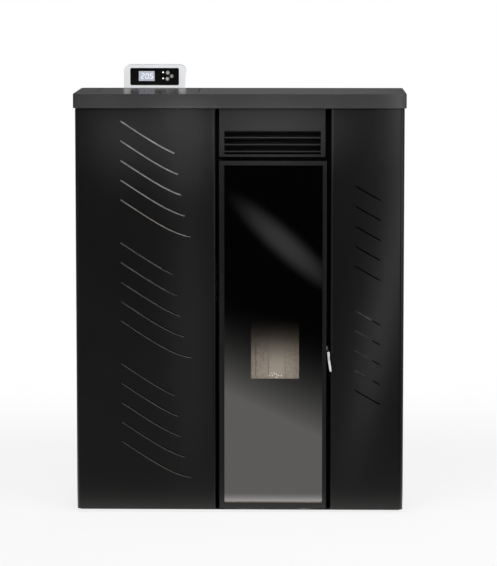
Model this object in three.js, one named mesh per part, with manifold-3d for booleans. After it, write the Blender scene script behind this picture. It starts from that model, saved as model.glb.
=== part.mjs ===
// Slim pellet stove, modelled piece by piece in millimetres.
// X runs to the right, Y away from whoever faces the stove, Z up from the floor.
import * as THREE from "three";
import { mergeVertices } from "three/addons/utils/BufferGeometryUtils.js";
import Module from "manifold-3d";

const wasm = await Module();
wasm.setup();

// ---------------------------------------------------------------- driving dimensions

const STOVE_HEIGHT = 1050;
const TOP_WIDTH = 826;
const TOP_OVERHANG = 6;
const TOP_LIP = 35;
const TOP_SHEET = 2.5;
const CORNER_RADIUS = 10;
const BODY_WIDTH = 817;
const BODY_DEPTH = 280;
const PANEL_BOTTOM = 8;
const SHEET = 2;
const FLUE_DIAMETER = 80;
const FLUE_REACH = 40;
const AIR_PIPE_DIAMETER = 50;
const FIT = 0.3;                    // air gap between pieces that touch

const BAY_LEFT = -59.5;             // inner edges of the two casing panels
const BAY_RIGHT = 225.5;
const DOOR_LEFT = -51;
const DOOR_RIGHT = 216;
const DOOR_BOTTOM = 10.5;
const DOOR_TOP = 884;
const DOOR_DEPTH = 20;
const GRILLE_BOTTOM = 894.5;
const GRILLE_TOP = 1013;

// Places that follow from them.
const FRONT = -(BODY_DEPTH + TOP_OVERHANG + FLUE_REACH) / 2 + TOP_OVERHANG;   // face of the front panels
const BACK = FRONT + BODY_DEPTH;                                              // rear face of the back panel
const TOP_FRONT = FRONT - TOP_OVERHANG;
const TOP_BACK = BACK + TOP_OVERHANG;
const LIP_BOTTOM = STOVE_HEIGHT - TOP_LIP;
const HALF_BODY = BODY_WIDTH / 2;
const BAY_CENTRE = (DOOR_LEFT + DOOR_RIGHT) / 2;

// ---------------------------------------------------------------- materials

const steelPaint = (color, roughness = 0.5) =>
  new THREE.MeshStandardMaterial({ color, roughness, metalness: 0.35 });
const MATERIALS = {
  black_paint: steelPaint(0x242424),
  top_paint: steelPaint(0x46433f, 0.42),
  stove_paint: steelPaint(0x1c1b1a, 0.75),
  galvanised: new THREE.MeshStandardMaterial({ color: 0x9a9d9f, roughness: 0.45, metalness: 0.85 }),
  steel: new THREE.MeshStandardMaterial({ color: 0xa7a7a5, roughness: 0.35, metalness: 0.95 }),
  chrome: new THREE.MeshStandardMaterial({ color: 0xe4e4e2, roughness: 0.1, metalness: 1 }),
  cast_iron: new THREE.MeshStandardMaterial({ color: 0x3a3836, roughness: 0.8, metalness: 0.6 }),
  cast_aluminium: new THREE.MeshStandardMaterial({ color: 0x8f9192, roughness: 0.55, metalness: 0.8 }),
  vermiculite: new THREE.MeshStandardMaterial({ color: 0xa2937f, roughness: 0.95, metalness: 0 }),
  glass: new THREE.MeshStandardMaterial({ color: 0x050505, roughness: 0.05, metalness: 0 }),
  rope: new THREE.MeshStandardMaterial({ color: 0x4b4a47, roughness: 1, metalness: 0 }),
  rubber: new THREE.MeshStandardMaterial({ color: 0x161616, roughness: 0.9, metalness: 0 }),
  dark_plastic: new THREE.MeshStandardMaterial({ color: 0x161617, roughness: 0.4, metalness: 0 }),
  pale_plastic: new THREE.MeshStandardMaterial({ color: 0xdadcde, roughness: 0.35, metalness: 0 }),
  silver_plastic: new THREE.MeshStandardMaterial({ color: 0xaaa5a0, roughness: 0.3, metalness: 0.4 }),
  display: new THREE.MeshStandardMaterial({ color: 0xbec0de, roughness: 0.2, metalness: 0 }),
};

// ---------------------------------------------------------------- solids

/** A closed three.js geometry as a solid that can be cut and joined. */
function solid(geometry) {
  const bare = geometry.index ? geometry : geometry.clone();
  bare.deleteAttribute("normal");
  bare.deleteAttribute("uv");
  const merged = mergeVertices(bare, 1e-4);
  return new wasm.Manifold(new wasm.Mesh({
    numProp: 3,
    vertProperties: Float32Array.from(merged.attributes.position.array),
    triVerts: Uint32Array.from(merged.index.array),
  }));
}

function geometryOf(body) {
  const mesh = body.getMesh();
  const geometry = new THREE.BufferGeometry();
  geometry.setAttribute("position", new THREE.BufferAttribute(mesh.vertProperties, 3));
  geometry.setIndex(new THREE.BufferAttribute(mesh.triVerts, 1));
  geometry.computeVertexNormals();
  return geometry;
}

/** Box between two limits on each axis. */
function box([x0, x1], [y0, y1], [z0, z1]) {
  const geometry = new THREE.BoxGeometry(x1 - x0, y1 - y0, z1 - z0);
  geometry.translate((x0 + x1) / 2, (y0 + y1) / 2, (z0 + z1) / 2);
  return solid(geometry);
}

const AXIS_TURN = {
  x: new THREE.Matrix4().makeRotationZ(-Math.PI / 2),
  y: new THREE.Matrix4(),
  z: new THREE.Matrix4().makeRotationX(Math.PI / 2),
};

/** Rod, or cone with a second radius, centred on a point and lying along an axis. */
function rod(axis, radius, length, [x, y, z], sides = 24, endRadius = radius) {
  const geometry = new THREE.CylinderGeometry(endRadius, radius, length, sides);
  geometry.applyMatrix4(AXIS_TURN[axis]);
  geometry.translate(x, y, z);
  return solid(geometry);
}

const tube = (axis, outer, inner, length, centre, sides = 24) =>
  rod(axis, outer, length, centre, sides).subtract(rod(axis, inner, length + 2, centre, sides));

function extruded(outline, length, rounding = 0) {
  const shape = new THREE.Shape(outline.map(([u, v]) => new THREE.Vector2(u, v)));
  const geometry = new THREE.ExtrudeGeometry(shape, { depth: length - 2 * rounding, bevelEnabled: rounding > 0,
    bevelThickness: rounding, bevelSize: rounding, bevelOffset: -rounding, bevelSegments: 2 });
  geometry.translate(0, 0, rounding);
  return geometry;
}

/** Outline in plan, [x, y], raised from one height to another. */
function raised(outline, [z0, z1]) {
  const geometry = extruded(outline, z1 - z0);
  geometry.translate(0, 0, z0);
  return solid(geometry);
}

/** Outline seen from the front, [x, z], carried from front to back, with its edges rounded over if asked. */
function carriedBack(outline, [y0, y1], rounding = 0) {
  const geometry = extruded(outline, y1 - y0, rounding);
  geometry.applyMatrix4(new THREE.Matrix4().makeRotationX(Math.PI / 2));
  geometry.translate(0, y1, 0);
  return solid(geometry);
}

/** Outline seen from the side, [y, z], carried from left to right. */
function carriedAcross(outline, [x0, x1]) {
  const geometry = extruded(outline, x1 - x0);
  geometry.applyMatrix4(new THREE.Matrix4().makeBasis(
    new THREE.Vector3(0, 1, 0), new THREE.Vector3(0, 0, 1), new THREE.Vector3(1, 0, 0)));
  geometry.translate(x0, 0, 0);
  return solid(geometry);
}

/** Straight-sided body between two rectangles at different heights. */
function funnel(low, lowZ, high, highZ) {
  const corners = ([[x0, x1], [y0, y1]], z) => [[x0, y0, z], [x1, y0, z], [x1, y1, z], [x0, y1, z]];
  const geometry = new THREE.BufferGeometry();
  const points = [...corners(low, lowZ), ...corners(high, highZ)].flat();
  geometry.setAttribute("position", new THREE.Float32BufferAttribute(points, 3));
  const faces = [0, 2, 1, 0, 3, 2, 4, 5, 6, 4, 6, 7];
  for (let side = 0; side < 4; side += 1) {
    const next = (side + 1) % 4;
    faces.push(side, next, next + 4, side, next + 4, side + 4);
  }
  geometry.setIndex(faces);
  return solid(geometry);
}

/** Corners [u, v, radius] joined by straight runs, with an arc at each corner that has a radius. */
function roundedPath(corners, steps = 5) {
  const points = [];
  corners.forEach(([u, v, radius = 0], index) => {
    const corner = new THREE.Vector2(u, v);
    if (!radius) {
      points.push([u, v]);
      return;
    }
    const count = corners.length;
    const before = new THREE.Vector2(...corners[(index + count - 1) % count]).sub(corner).normalize();
    const after = new THREE.Vector2(...corners[(index + 1) % count]).sub(corner).normalize();
    const half = Math.acos(before.dot(after)) / 2;
    const reach = radius / Math.tan(half);
    const inward = before.clone().add(after).normalize();
    const centre = corner.clone().addScaledVector(inward, radius / Math.sin(half));
    const start = corner.clone().addScaledVector(before, reach).sub(centre);
    const end = corner.clone().addScaledVector(after, reach).sub(centre);
    let sweep = end.angle() - start.angle();
    if (sweep > Math.PI) sweep -= 2 * Math.PI;
    if (sweep < -Math.PI) sweep += 2 * Math.PI;
    for (let step = 0; step <= steps; step += 1) {
      const angle = start.angle() + (sweep * step) / steps;
      points.push([centre.x + radius * Math.cos(angle), centre.y + radius * Math.sin(angle)]);
    }
  });
  return points;
}

const roundedRectangle = ([u0, u1], [v0, v1], radius, steps = 5) =>
  roundedPath([[u0, v0, radius], [u1, v0, radius], [u1, v1, radius], [u0, v1, radius]], steps);

/** Closed outline of a sheet that follows a path, thickened to the left of its direction. */
function sheetOutline(path, thickness) {
  const points = path.map(([u, v]) => new THREE.Vector2(u, v));
  const leftOf = (from, to) => {
    const along = to.clone().sub(from).normalize();
    return new THREE.Vector2(-along.y, along.x);
  };
  const offset = points.map((point, index) => {
    const before = index > 0 ? leftOf(points[index - 1], point) : null;
    const after = index < points.length - 1 ? leftOf(point, points[index + 1]) : null;
    if (!before || !after) return point.clone().addScaledVector(before ?? after, thickness);
    const middle = before.clone().add(after).normalize();
    return point.clone().addScaledVector(middle, thickness / middle.dot(before));
  });
  return [...points, ...offset.reverse()].map((point) => [point.x, point.y]);
}

/** Narrow slit that follows a path, with square ends. */
function slitOutline(path, width) {
  const right = sheetOutline(path, -width / 2).slice(path.length);
  const left = sheetOutline(path, width / 2).slice(path.length).reverse();
  return [...right, ...left];
}

const union = (bodies) => bodies.reduce((whole, body) => whole.add(body));

// ---------------------------------------------------------------- scene graph

const stove = new THREE.Group();
stove.name = "pellet_stove";

function addPiece(name, body, material, parent = stove) {
  const mesh = new THREE.Mesh(geometryOf(body), MATERIALS[material]);
  mesh.name = name;
  parent.add(mesh);
  return mesh;
}

function addGroup(name, [x, y, z], parent = stove) {
  const group = new THREE.Group();
  group.name = name;
  group.position.set(x, y, z);
  parent.add(group);
  return group;
}

// ---------------------------------------------------------------- base and feet

const BASE = { halfWidth: 400, front: FRONT + 12, back: BACK - 8, bottom: 4.5, sheet: 2.5, flange: 22 };
const FOOT = { radius: 17, edge: 1, face: 3, inset: 40, stud: 4, studTop: 30, clearance: 0.4 };

function buildBase() {
  const { halfWidth, front, back, bottom, sheet, flange } = BASE;
  const tray = box([-halfWidth, halfWidth], [front, back], [bottom, bottom + flange])
    .subtract(box([-halfWidth + sheet, halfWidth - sheet], [front + sheet, back - sheet],
      [bottom + sheet, bottom + flange + 1]))
    .subtract(box([BAY_LEFT - 10, BAY_RIGHT + 10], [front - 1, front + sheet + 1],
      [bottom + sheet, bottom + flange + 1]));

  // Each foot is a disc that stands on the floor, with a stud that screws up through the tray.
  const { radius, edge, face, inset, stud, studTop, clearance } = FOOT;
  const places = [[-1, -1], [1, -1], [1, 1], [-1, 1]].map(([side, end]) => [
    side * (halfWidth - inset),
    (front + back) / 2 + end * ((back - front) / 2 - inset),
  ]);
  places.forEach(([x, y], index) => {
    const profile = [[0, 0], [radius - edge, 0], [radius, edge], [radius, face],
      [radius - 2 * edge, bottom - FIT], [stud, bottom - FIT], [stud, studTop], [0, studTop]];
    const lathe = new THREE.LatheGeometry(profile.map(([r, z]) => new THREE.Vector2(r, z)), 20);
    lathe.applyMatrix4(AXIS_TURN.z);
    const mesh = addPiece(`levelling_foot_${index + 1}`, solid(lathe), "steel");
    mesh.position.set(x, y, 0);
  });
  const tappings = places.map(([x, y]) => rod("z", stud + clearance, 20, [x, y, bottom], 20));
  addPiece("base_plate", tray.subtract(union(tappings)), "black_paint");
}

// ---------------------------------------------------------------- casing panels

const WAVE = { startX: -296, topZ: 983, pitch: 49, groups: 3, groupPitch: 303.5, width: 3.2,
  lengths: [134, 143, 150, 160, 175], slope: 0.655, flatten: 23 };
const WAVE_POINTS = [0, 0.35, 0.55, 0.7, 0.82, 0.92, 1];    // parts of a slot's length, closer where it bends
const SLASH = { startX: 287, run: 63, drop: 36, topZ: 822, pitch: 50, rows: 5, groups: 2, groupPitch: 311.5,
  width: 3 };

/** Fall of a wave slot at a distance from its start: straight first, then flattening out. */
const waveFall = (distance) =>
  WAVE.slope * distance - WAVE.flatten * (distance / WAVE.lengths.at(-1)) ** 4;

function waveSlots() {
  const slits = [];
  for (let group = 0; group < WAVE.groups; group += 1) {
    WAVE.lengths.forEach((length, row) => {
      const startZ = WAVE.topZ - group * WAVE.groupPitch - row * WAVE.pitch;
      const path = WAVE_POINTS.map((part) =>
        [WAVE.startX + part * length, startZ - waveFall(part * length)]);
      slits.push(carriedBack(slitOutline(path, WAVE.width), [FRONT - 1, FRONT + SHEET + 1]));
    });
  }
  return union(slits);
}

function slashSlots() {
  const slits = [];
  for (let group = 0; group < SLASH.groups; group += 1) {
    for (let row = 0; row < SLASH.rows; row += 1) {
      const startZ = SLASH.topZ - group * SLASH.groupPitch - row * SLASH.pitch;
      const path = [[SLASH.startX, startZ], [SLASH.startX + SLASH.run, startZ - SLASH.drop]];
      slits.push(carriedBack(slitOutline(path, SLASH.width), [FRONT - 1, FRONT + SHEET + 1]));
    }
  }
  return union(slits);
}

const CASING = { bayReturn: 28, bayRadius: 7, rearReturn: 16, rearRadius: 3, top: LIP_BOTTOM - 2 };

/** One folded sheet: return beside the bay, front face, rounded corner, side and rear return. */
function casingPanel(bayEdge, outerEdge, slots) {
  const outward = Math.sign(outerEdge - bayEdge);
  const panelBack = BACK - SHEET - FIT;
  const path = roundedPath([
    [bayEdge, FRONT + CASING.bayReturn],
    [bayEdge, FRONT, CASING.bayRadius],
    [outerEdge, FRONT, CORNER_RADIUS],
    [outerEdge, panelBack, CASING.rearRadius],
    [outerEdge - outward * CASING.rearReturn, panelBack],
  ]);
  const outline = sheetOutline(path, outward * SHEET);
  return raised(outline, [PANEL_BOTTOM, CASING.top]).subtract(slots);
}

function buildCasing() {
  addPiece("left_casing_panel", casingPanel(BAY_LEFT, -HALF_BODY, waveSlots()), "black_paint");
  addPiece("right_casing_panel", casingPanel(BAY_RIGHT, HALF_BODY, slashSlots()), "black_paint");
}

// ---------------------------------------------------------------- back panel

const FLUE = { x: 300, z: 160 };
const AIR_PIPE = { x: 130, z: 225 };
const INLET = { x: 352, z: 62, width: 48, height: 28 };
const VENT = { x: BAY_CENTRE, z: 82, columns: 7, rows: 4, pitchX: 28, pitchZ: 22, width: 19, height: 7 };

function buildBackPanel() {
  const half = HALF_BODY - SHEET - 1;
  const skin = [BACK - SHEET, BACK];
  const through = [BACK - SHEET - 1, BACK + 1];
  const openings = [
    rod("y", FLUE_DIAMETER / 2 + 1.5, 6, [FLUE.x, BACK, FLUE.z], 32),
    rod("y", AIR_PIPE_DIAMETER / 2 + 1, 6, [AIR_PIPE.x, BACK, AIR_PIPE.z], 28),
    box([INLET.x - INLET.width / 2, INLET.x + INLET.width / 2], through,
      [INLET.z - INLET.height / 2, INLET.z + INLET.height / 2]),
  ];
  for (let column = 0; column < VENT.columns; column += 1) {
    for (let row = 0; row < VENT.rows; row += 1) {
      const x = VENT.x + (column - (VENT.columns - 1) / 2) * VENT.pitchX;
      const z = VENT.z + (row - (VENT.rows - 1) / 2) * VENT.pitchZ;
      openings.push(box([x - VENT.width / 2, x + VENT.width / 2], through,
        [z - VENT.height / 2, z + VENT.height / 2]));
    }
  }
  const panel = box([-half, half], skin, [PANEL_BOTTOM, CASING.top]).subtract(union(openings));
  addPiece("back_panel", panel, "black_paint");
}

// ---------------------------------------------------------------- top plate, lid and its hinge

const LID = { left: -359, right: -107, front: TOP_FRONT + 86, back: TOP_FRONT + 268, gap: 2, sheet: 2.5,
  rim: 12 };
const LID_AXIS = { y: LID.back + 4, z: STOVE_HEIGHT - 3.2 };
const LID_PIN_RADIUS = 1.5;
const LID_KNUCKLE = { radius: 3, lidLength: 46, frameLength: 30 };
const LID_CENTRE = (LID.left + LID.right) / 2;

function buildTopPlate() {
  const half = TOP_WIDTH / 2;
  const outer = raised(roundedRectangle([-half, half], [TOP_FRONT, TOP_BACK], CORNER_RADIUS),
    [LIP_BOTTOM, STOVE_HEIGHT]);
  const hollow = raised(roundedRectangle([-half + TOP_SHEET, half - TOP_SHEET],
    [TOP_FRONT + TOP_SHEET, TOP_BACK - TOP_SHEET], CORNER_RADIUS - TOP_SHEET),
  [LIP_BOTTOM - 1, STOVE_HEIGHT - TOP_SHEET]);
  const mouth = box([LID.left - LID.gap, LID.right + LID.gap], [LID.front - LID.gap, LID_AXIS.y + 4.2],
    [STOVE_HEIGHT - 10, STOVE_HEIGHT + 1]);
  addPiece("top_plate", outer.subtract(hollow).subtract(mouth), "top_paint");
}

/** The lid turns on a pin sunk level with the top, so its group stands on the pin's axis. */
function buildLid() {
  const group = addGroup("lid", [LID_CENTRE, LID_AXIS.y, LID_AXIS.z]);
  const half = (LID.right - LID.left) / 2;
  const front = LID.front - LID_AXIS.y;
  const back = LID.back - LID_AXIS.y;
  const top = STOVE_HEIGHT - LID_AXIS.z;
  const bottom = top - LID.rim;
  const plate = box([-half, half], [front, back], [bottom, top])
    .subtract(box([-half + LID.sheet, half - LID.sheet], [front + LID.sheet, back - LID.sheet],
      [bottom - 1, top - LID.sheet]));
  const knuckles = [-1, 1].map((side) => {
    const x = side * (half - LID_KNUCKLE.frameLength - LID_KNUCKLE.lidLength / 2 - 1);
    const length = LID_KNUCKLE.lidLength;
    return rod("x", LID_KNUCKLE.radius, length, [x, 0, 0], 16)
      .add(box([x - length / 2, x + length / 2], [back - 1, 0], [-1, 1]));
  });
  const pinBore = rod("x", LID_PIN_RADIUS + FIT, 2 * half + 10, [0, 0, 0], 16);
  addPiece("hopper_lid", union([plate, ...knuckles]).subtract(pinBore), "top_paint", group);

  const seal = { width: 6, height: 5 };
  const sealTop = bottom - FIT;
  const gasket = box([-half, half], [front, back], [sealTop - seal.height, sealTop])
    .subtract(box([-half + seal.width, half - seal.width], [front + seal.width, back - seal.width],
      [sealTop - seal.height - 1, sealTop + 1]));
  addPiece("lid_gasket", gasket, "rubber", group);
  return STOVE_HEIGHT - LID.rim - FIT - seal.height;
}

function buildLidHinge() {
  const half = (LID.right - LID.left) / 2;
  const { y, z } = LID_AXIS;
  const pin = rod("x", LID_PIN_RADIUS, 2 * half - 2, [LID_CENTRE, y, z], 12);
  const leafTop = STOVE_HEIGHT - TOP_SHEET - FIT;
  const leaf = box([LID_CENTRE - half, LID_CENTRE + half], [y + 4.5, y + 15], [leafTop - SHEET, leafTop]);
  const knuckles = [-1, 1].map((side) => {
    const x = LID_CENTRE + side * (half - LID_KNUCKLE.frameLength / 2);
    const length = LID_KNUCKLE.frameLength - 1;
    return rod("x", LID_KNUCKLE.radius, length, [x, y, z], 16)
      .add(box([x - length / 2, x + length / 2], [y, y + 5], [z - 2.2, z - 0.2]));
  });
  addPiece("lid_hinge_leaf", union([leaf, pin, ...knuckles]), "steel");
}

// ---------------------------------------------------------------- bay posts and warm air outlet

const POST = { front: FRONT + 30, depth: 16, sheet: 2.5, leftX: [-57, -45], rightX: [212.5, 224.5] };

function buildPosts() {
  const bottom = BASE.bottom + BASE.sheet + FIT;
  const top = STOVE_HEIGHT - TOP_SHEET - FIT;
  [["bay_post_left", POST.leftX], ["bay_post_right", POST.rightX]].forEach(([name, [x0, x1]]) => {
    const channel = box([x0, x1], [POST.front, POST.front + POST.depth], [bottom, top])
      .subtract(box([x0 + POST.sheet, x1 - POST.sheet], [POST.front + POST.sheet, POST.front + POST.depth + 1],
        [bottom - 1, top + 1]));
    addPiece(name, channel, "black_paint");
  });
}

const OUTLET_PANEL = { left: -51.3, right: 212.8, return: 29, radius: 2.5 };
const OUTLET = { left: -38, right: 201, bottom: 900.5, top: 961, rim: 6, bladePitch: 17.3, blades: 4, lip: 3,
  bladeDepth: 17, bladeFall: 11, bladeSheet: 1.5 };

function buildAirOutlet() {
  const { left, right, radius } = OUTLET_PANEL;
  const returnEnd = FRONT + OUTLET_PANEL.return;
  const path = roundedPath([
    [left, returnEnd], [left, FRONT, radius], [right, FRONT, radius], [right, returnEnd],
  ], 3);
  const face = raised(sheetOutline(path, SHEET), [GRILLE_BOTTOM, GRILLE_TOP])
    .subtract(box([OUTLET.left, OUTLET.right], [FRONT - 1, FRONT + SHEET + 1], [OUTLET.bottom, OUTLET.top]));
  addPiece("air_outlet_panel", face, "black_paint");

  // The grille stands behind the face: a frame with blades that fall away to the rear.
  const front = FRONT + SHEET + FIT;
  const back = front + OUTLET.bladeDepth + 3;
  const frame = box([OUTLET.left - OUTLET.rim, OUTLET.right + OUTLET.rim], [front, back],
    [GRILLE_BOTTOM + 1, OUTLET.top + OUTLET.rim])
    .subtract(box([OUTLET.left, OUTLET.right], [front - 1, back + 1], [OUTLET.bottom, OUTLET.top]));
  const blades = [];
  for (let index = 0; index < OUTLET.blades; index += 1) {
    const z = OUTLET.top - index * OUTLET.bladePitch;
    const profile = sheetOutline([
      [front, z - OUTLET.lip],
      [front, z],
      [front + OUTLET.bladeDepth, z - OUTLET.bladeFall],
    ], -OUTLET.bladeSheet);
    blades.push(carriedAcross(profile, [OUTLET.left - 1, OUTLET.right + 1]));
  }
  addPiece("air_outlet_grille", union([frame, ...blades]), "black_paint");
}

// ---------------------------------------------------------------- door

const DOOR_AXIS = { x: -46, y: FRONT + 10 };
const DOOR_MEMBER = { left: 12.7, right: 10, top: 11, bottom: 14 };
const GLASS = { thickness: 4, overlap: 3, lip: 3, play: 0.5 };
const INNER_PANEL = { sheet: 3, bottom: 150, top: 660, sight: { x: [21, 156], z: [330, 560] } };
const ROPE = { inset: 9, outerCorner: 12, innerCorner: 8, reach: 26 };
const HINGE = { pin: 2.5, reach: 6, plate: 2.5, gap: 0.8, left: -56.5, right: -40 };
const FIREBOX = { left: -44.6, right: 212.1, front: FRONT + 26, back: 72, bottom: 182, top: 700, wall: 3 };
const FIRE_MOUTH = { left: -22, right: 190, bottom: 196, top: 610 };
const HANDLE = { x: 221, z: 404, shaft: 2, boss: 3.6, web: 5, proud: 5.7, thickness: 4.2, rounding: 1.3 };

function doorOutlines() {
  const view = { x0: DOOR_LEFT + DOOR_MEMBER.left, x1: DOOR_RIGHT - DOOR_MEMBER.right,
    z0: DOOR_BOTTOM + DOOR_MEMBER.bottom, z1: DOOR_TOP - DOOR_MEMBER.top };
  const pocket = { x0: view.x0 - GLASS.overlap, x1: view.x1 + GLASS.overlap,
    z0: view.z0 - GLASS.overlap, z1: view.z1 + GLASS.overlap };
  return { view, pocket };
}

/** Everything here is written from the hinge axis, at floor height. */
function buildDoor() {
  const group = addGroup("door", [DOOR_AXIS.x, DOOR_AXIS.y, 0]);
  const { view, pocket } = doorOutlines();
  const fromAxis = (x) => x - DOOR_AXIS.x;
  const depth = (y) => FRONT + y - DOOR_AXIS.y;

  const bores = [[DOOR_TOP, -1], [DOOR_BOTTOM, 1]].map(([z, inward]) =>
    rod("z", HINGE.pin + FIT, 2 * (HINGE.reach + 1), [0, 0, z + inward * FIT], 16));
  const boss = rod("y", HANDLE.boss, 12, [fromAxis(HANDLE.x), depth(12), HANDLE.z], 16)
    .add(box([fromAxis(DOOR_RIGHT) - 1, fromAxis(HANDLE.x)], [depth(6), depth(18)],
      [HANDLE.z - HANDLE.web / 2, HANDLE.z + HANDLE.web / 2]))
    .subtract(rod("y", HANDLE.shaft + FIT, 20, [fromAxis(HANDLE.x), depth(12), HANDLE.z], 16));
  const frame = raised(roundedRectangle([fromAxis(DOOR_LEFT), fromAxis(DOOR_RIGHT)],
    [depth(0), depth(DOOR_DEPTH)], 1.5, 3), [DOOR_BOTTOM, DOOR_TOP])
    .subtract(box([fromAxis(view.x0), fromAxis(view.x1)], [depth(-1), depth(GLASS.lip + 1)],
      [view.z0, view.z1]))
    .subtract(box([fromAxis(pocket.x0), fromAxis(pocket.x1)], [depth(GLASS.lip), depth(DOOR_DEPTH + 1)],
      [pocket.z0, pocket.z1]))
    .add(boss)
    .subtract(union(bores));
  addPiece("door_frame", frame, "black_paint", group);

  const paneFront = GLASS.lip + FIT;
  const paneBack = paneFront + GLASS.thickness;
  const paneX = [fromAxis(pocket.x0) + GLASS.play, fromAxis(pocket.x1) - GLASS.play];
  const paneZ = [pocket.z0 + GLASS.play, pocket.z1 - GLASS.play];
  const pane = box(paneX, [depth(paneFront), depth(paneBack)], paneZ);
  addPiece("door_glass", pane, "glass", group);

  // The inner panel closes the fire and carries the rope; its sight opening is wider than the clear window.
  const panelFront = paneBack + FIT;
  const panelBack = panelFront + INNER_PANEL.sheet;
  const { sight } = INNER_PANEL;
  const innerPanel = box(paneX, [depth(panelFront), depth(panelBack)], [INNER_PANEL.bottom, INNER_PANEL.top])
    .subtract(box(sight.x.map(fromAxis), [depth(panelFront - 1), depth(panelBack + 1)], sight.z));
  addPiece("door_inner_panel", innerPanel, "stove_paint", group);

  const ropeFront = panelBack + FIT;
  const ropeBack = ROPE.reach - FIT;
  const { left, right, bottom, top } = FIRE_MOUTH;
  const ring = (grow, corner, [near, far]) => carriedBack(
    roundedRectangle([fromAxis(left - grow), fromAxis(right + grow)], [bottom - grow, top + grow], corner, 4),
    [depth(near), depth(far)]);
  const seal = ring(ROPE.inset, ROPE.outerCorner, [ropeFront, ropeBack])
    .subtract(ring(1, ROPE.innerCorner, [ropeFront - 1, ropeBack + 1]));
  addPiece("door_rope_seal", seal, "rope", group);
  return group;
}

/** Hinge plates stand on the left post; each carries its pin into the door's edge. */
function buildDoorHinges() {
  const { gap } = HINGE;
  [["door_hinge_upper", DOOR_TOP, 1], ["door_hinge_lower", DOOR_BOTTOM, -1]].forEach(([name, edge, up]) => {
    const low = up > 0 ? edge + gap : edge - gap - HINGE.plate;
    const span = [low, low + HINGE.plate];
    const pinEnds = [edge - up * HINGE.reach, edge + up * (gap + HINGE.plate / 2)];
    const pinLength = Math.abs(pinEnds[1] - pinEnds[0]);
    const plate = box([HINGE.left, HINGE.right], [DOOR_AXIS.y - 5, POST.front - FIT], span);
    const pin = rod("z", HINGE.pin, pinLength, [DOOR_AXIS.x, DOOR_AXIS.y, (pinEnds[0] + pinEnds[1]) / 2], 16);
    addPiece(name, plate.add(pin), "steel");
  });
}

/** The lever hangs from its shaft in the gap at the door's free edge. */
function buildHandle(door) {
  const group = addGroup("handle", [HANDLE.x - DOOR_AXIS.x, 0, HANDLE.z], door);
  const depth = (y) => FRONT + y - DOOR_AXIS.y;
  const lever = roundedPath([
    [-2.8, 4, 2.5], [3.2, 4, 2.5], [4.6, -20, 40], [8.6, -46, 2], [3.6, -46.5, 2], [-0.8, -22, 40],
  ], 4);
  const { proud, thickness, rounding } = HANDLE;
  const grip = carriedBack(lever, [depth(-proud), depth(thickness - proud)], rounding);
  const collar = rod("y", 3.2, 4, [0, depth(0.2), 0], 16);
  addPiece("door_handle", grip.add(collar), "chrome", group);

  const shaftStart = 2.5;
  const shaftEnd = 25;
  const shaftMiddle = depth((shaftStart + shaftEnd) / 2);
  const shaft = rod("y", HANDLE.shaft, shaftEnd - shaftStart, [0, shaftMiddle, 0], 12);
  const claw = [[-2.5, -3], [2.2, -3], [2.2, 3], [-1.2, 8], [-1.2, 14], [-13, 14], [-13, 10.5], [-5, 10],
    [-5, 5]];
  const hook = carriedBack(claw, [depth(20.6), depth(24.5)]);
  addPiece("latch_hook", shaft.add(hook), "steel", group);
}

/** A small angle on the firebox front; the claw of the hook draws up against its underside. */
function buildKeeper() {
  const front = FRONT + DOOR_DEPTH + 0.6;
  const back = FIREBOX.front - FIT;
  const ledge = HANDLE.z + 14.4;
  const width = [204, 211.8];
  const keeper = box(width, [back - 0.9, back], [ledge, ledge + 26])
    .add(box(width, [front, back], [ledge, ledge + 2.5]));
  addPiece("latch_keeper", keeper, "steel");
}

// ---------------------------------------------------------------- firebox and what stands in it

const LINER = { side: 20, back: 22, rib: { x: [70.5, 111.5], height: 5 }, bottom: 293, top: 640,
  groove: { centre: 88.3, spread: 52, width: 3, depth: 3 } };
const IGNITER = { below: 31, radius: 5, hole: 7, collar: 10 };
const ASH_PAN = { height: 42, sheet: 1.5, inset: 4, front: 6, back: 10,
  pull: { half: 35, reach: 10, drop: 8 } };
const POT = { x: 88.4, y: -10, top: 293.6, rim: 3, half: 38, depth: 56, wall: 2.5, flange: 7, taper: 6 };
const SEAT = { top: 290, sheet: 4 };
const CHUTE = { y: 20, half: 24, wall: 2, left: -112, right: -58, knee: 574, floor: 552, endX: -26, fall: 0.8,
  mouth: 65 };

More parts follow.
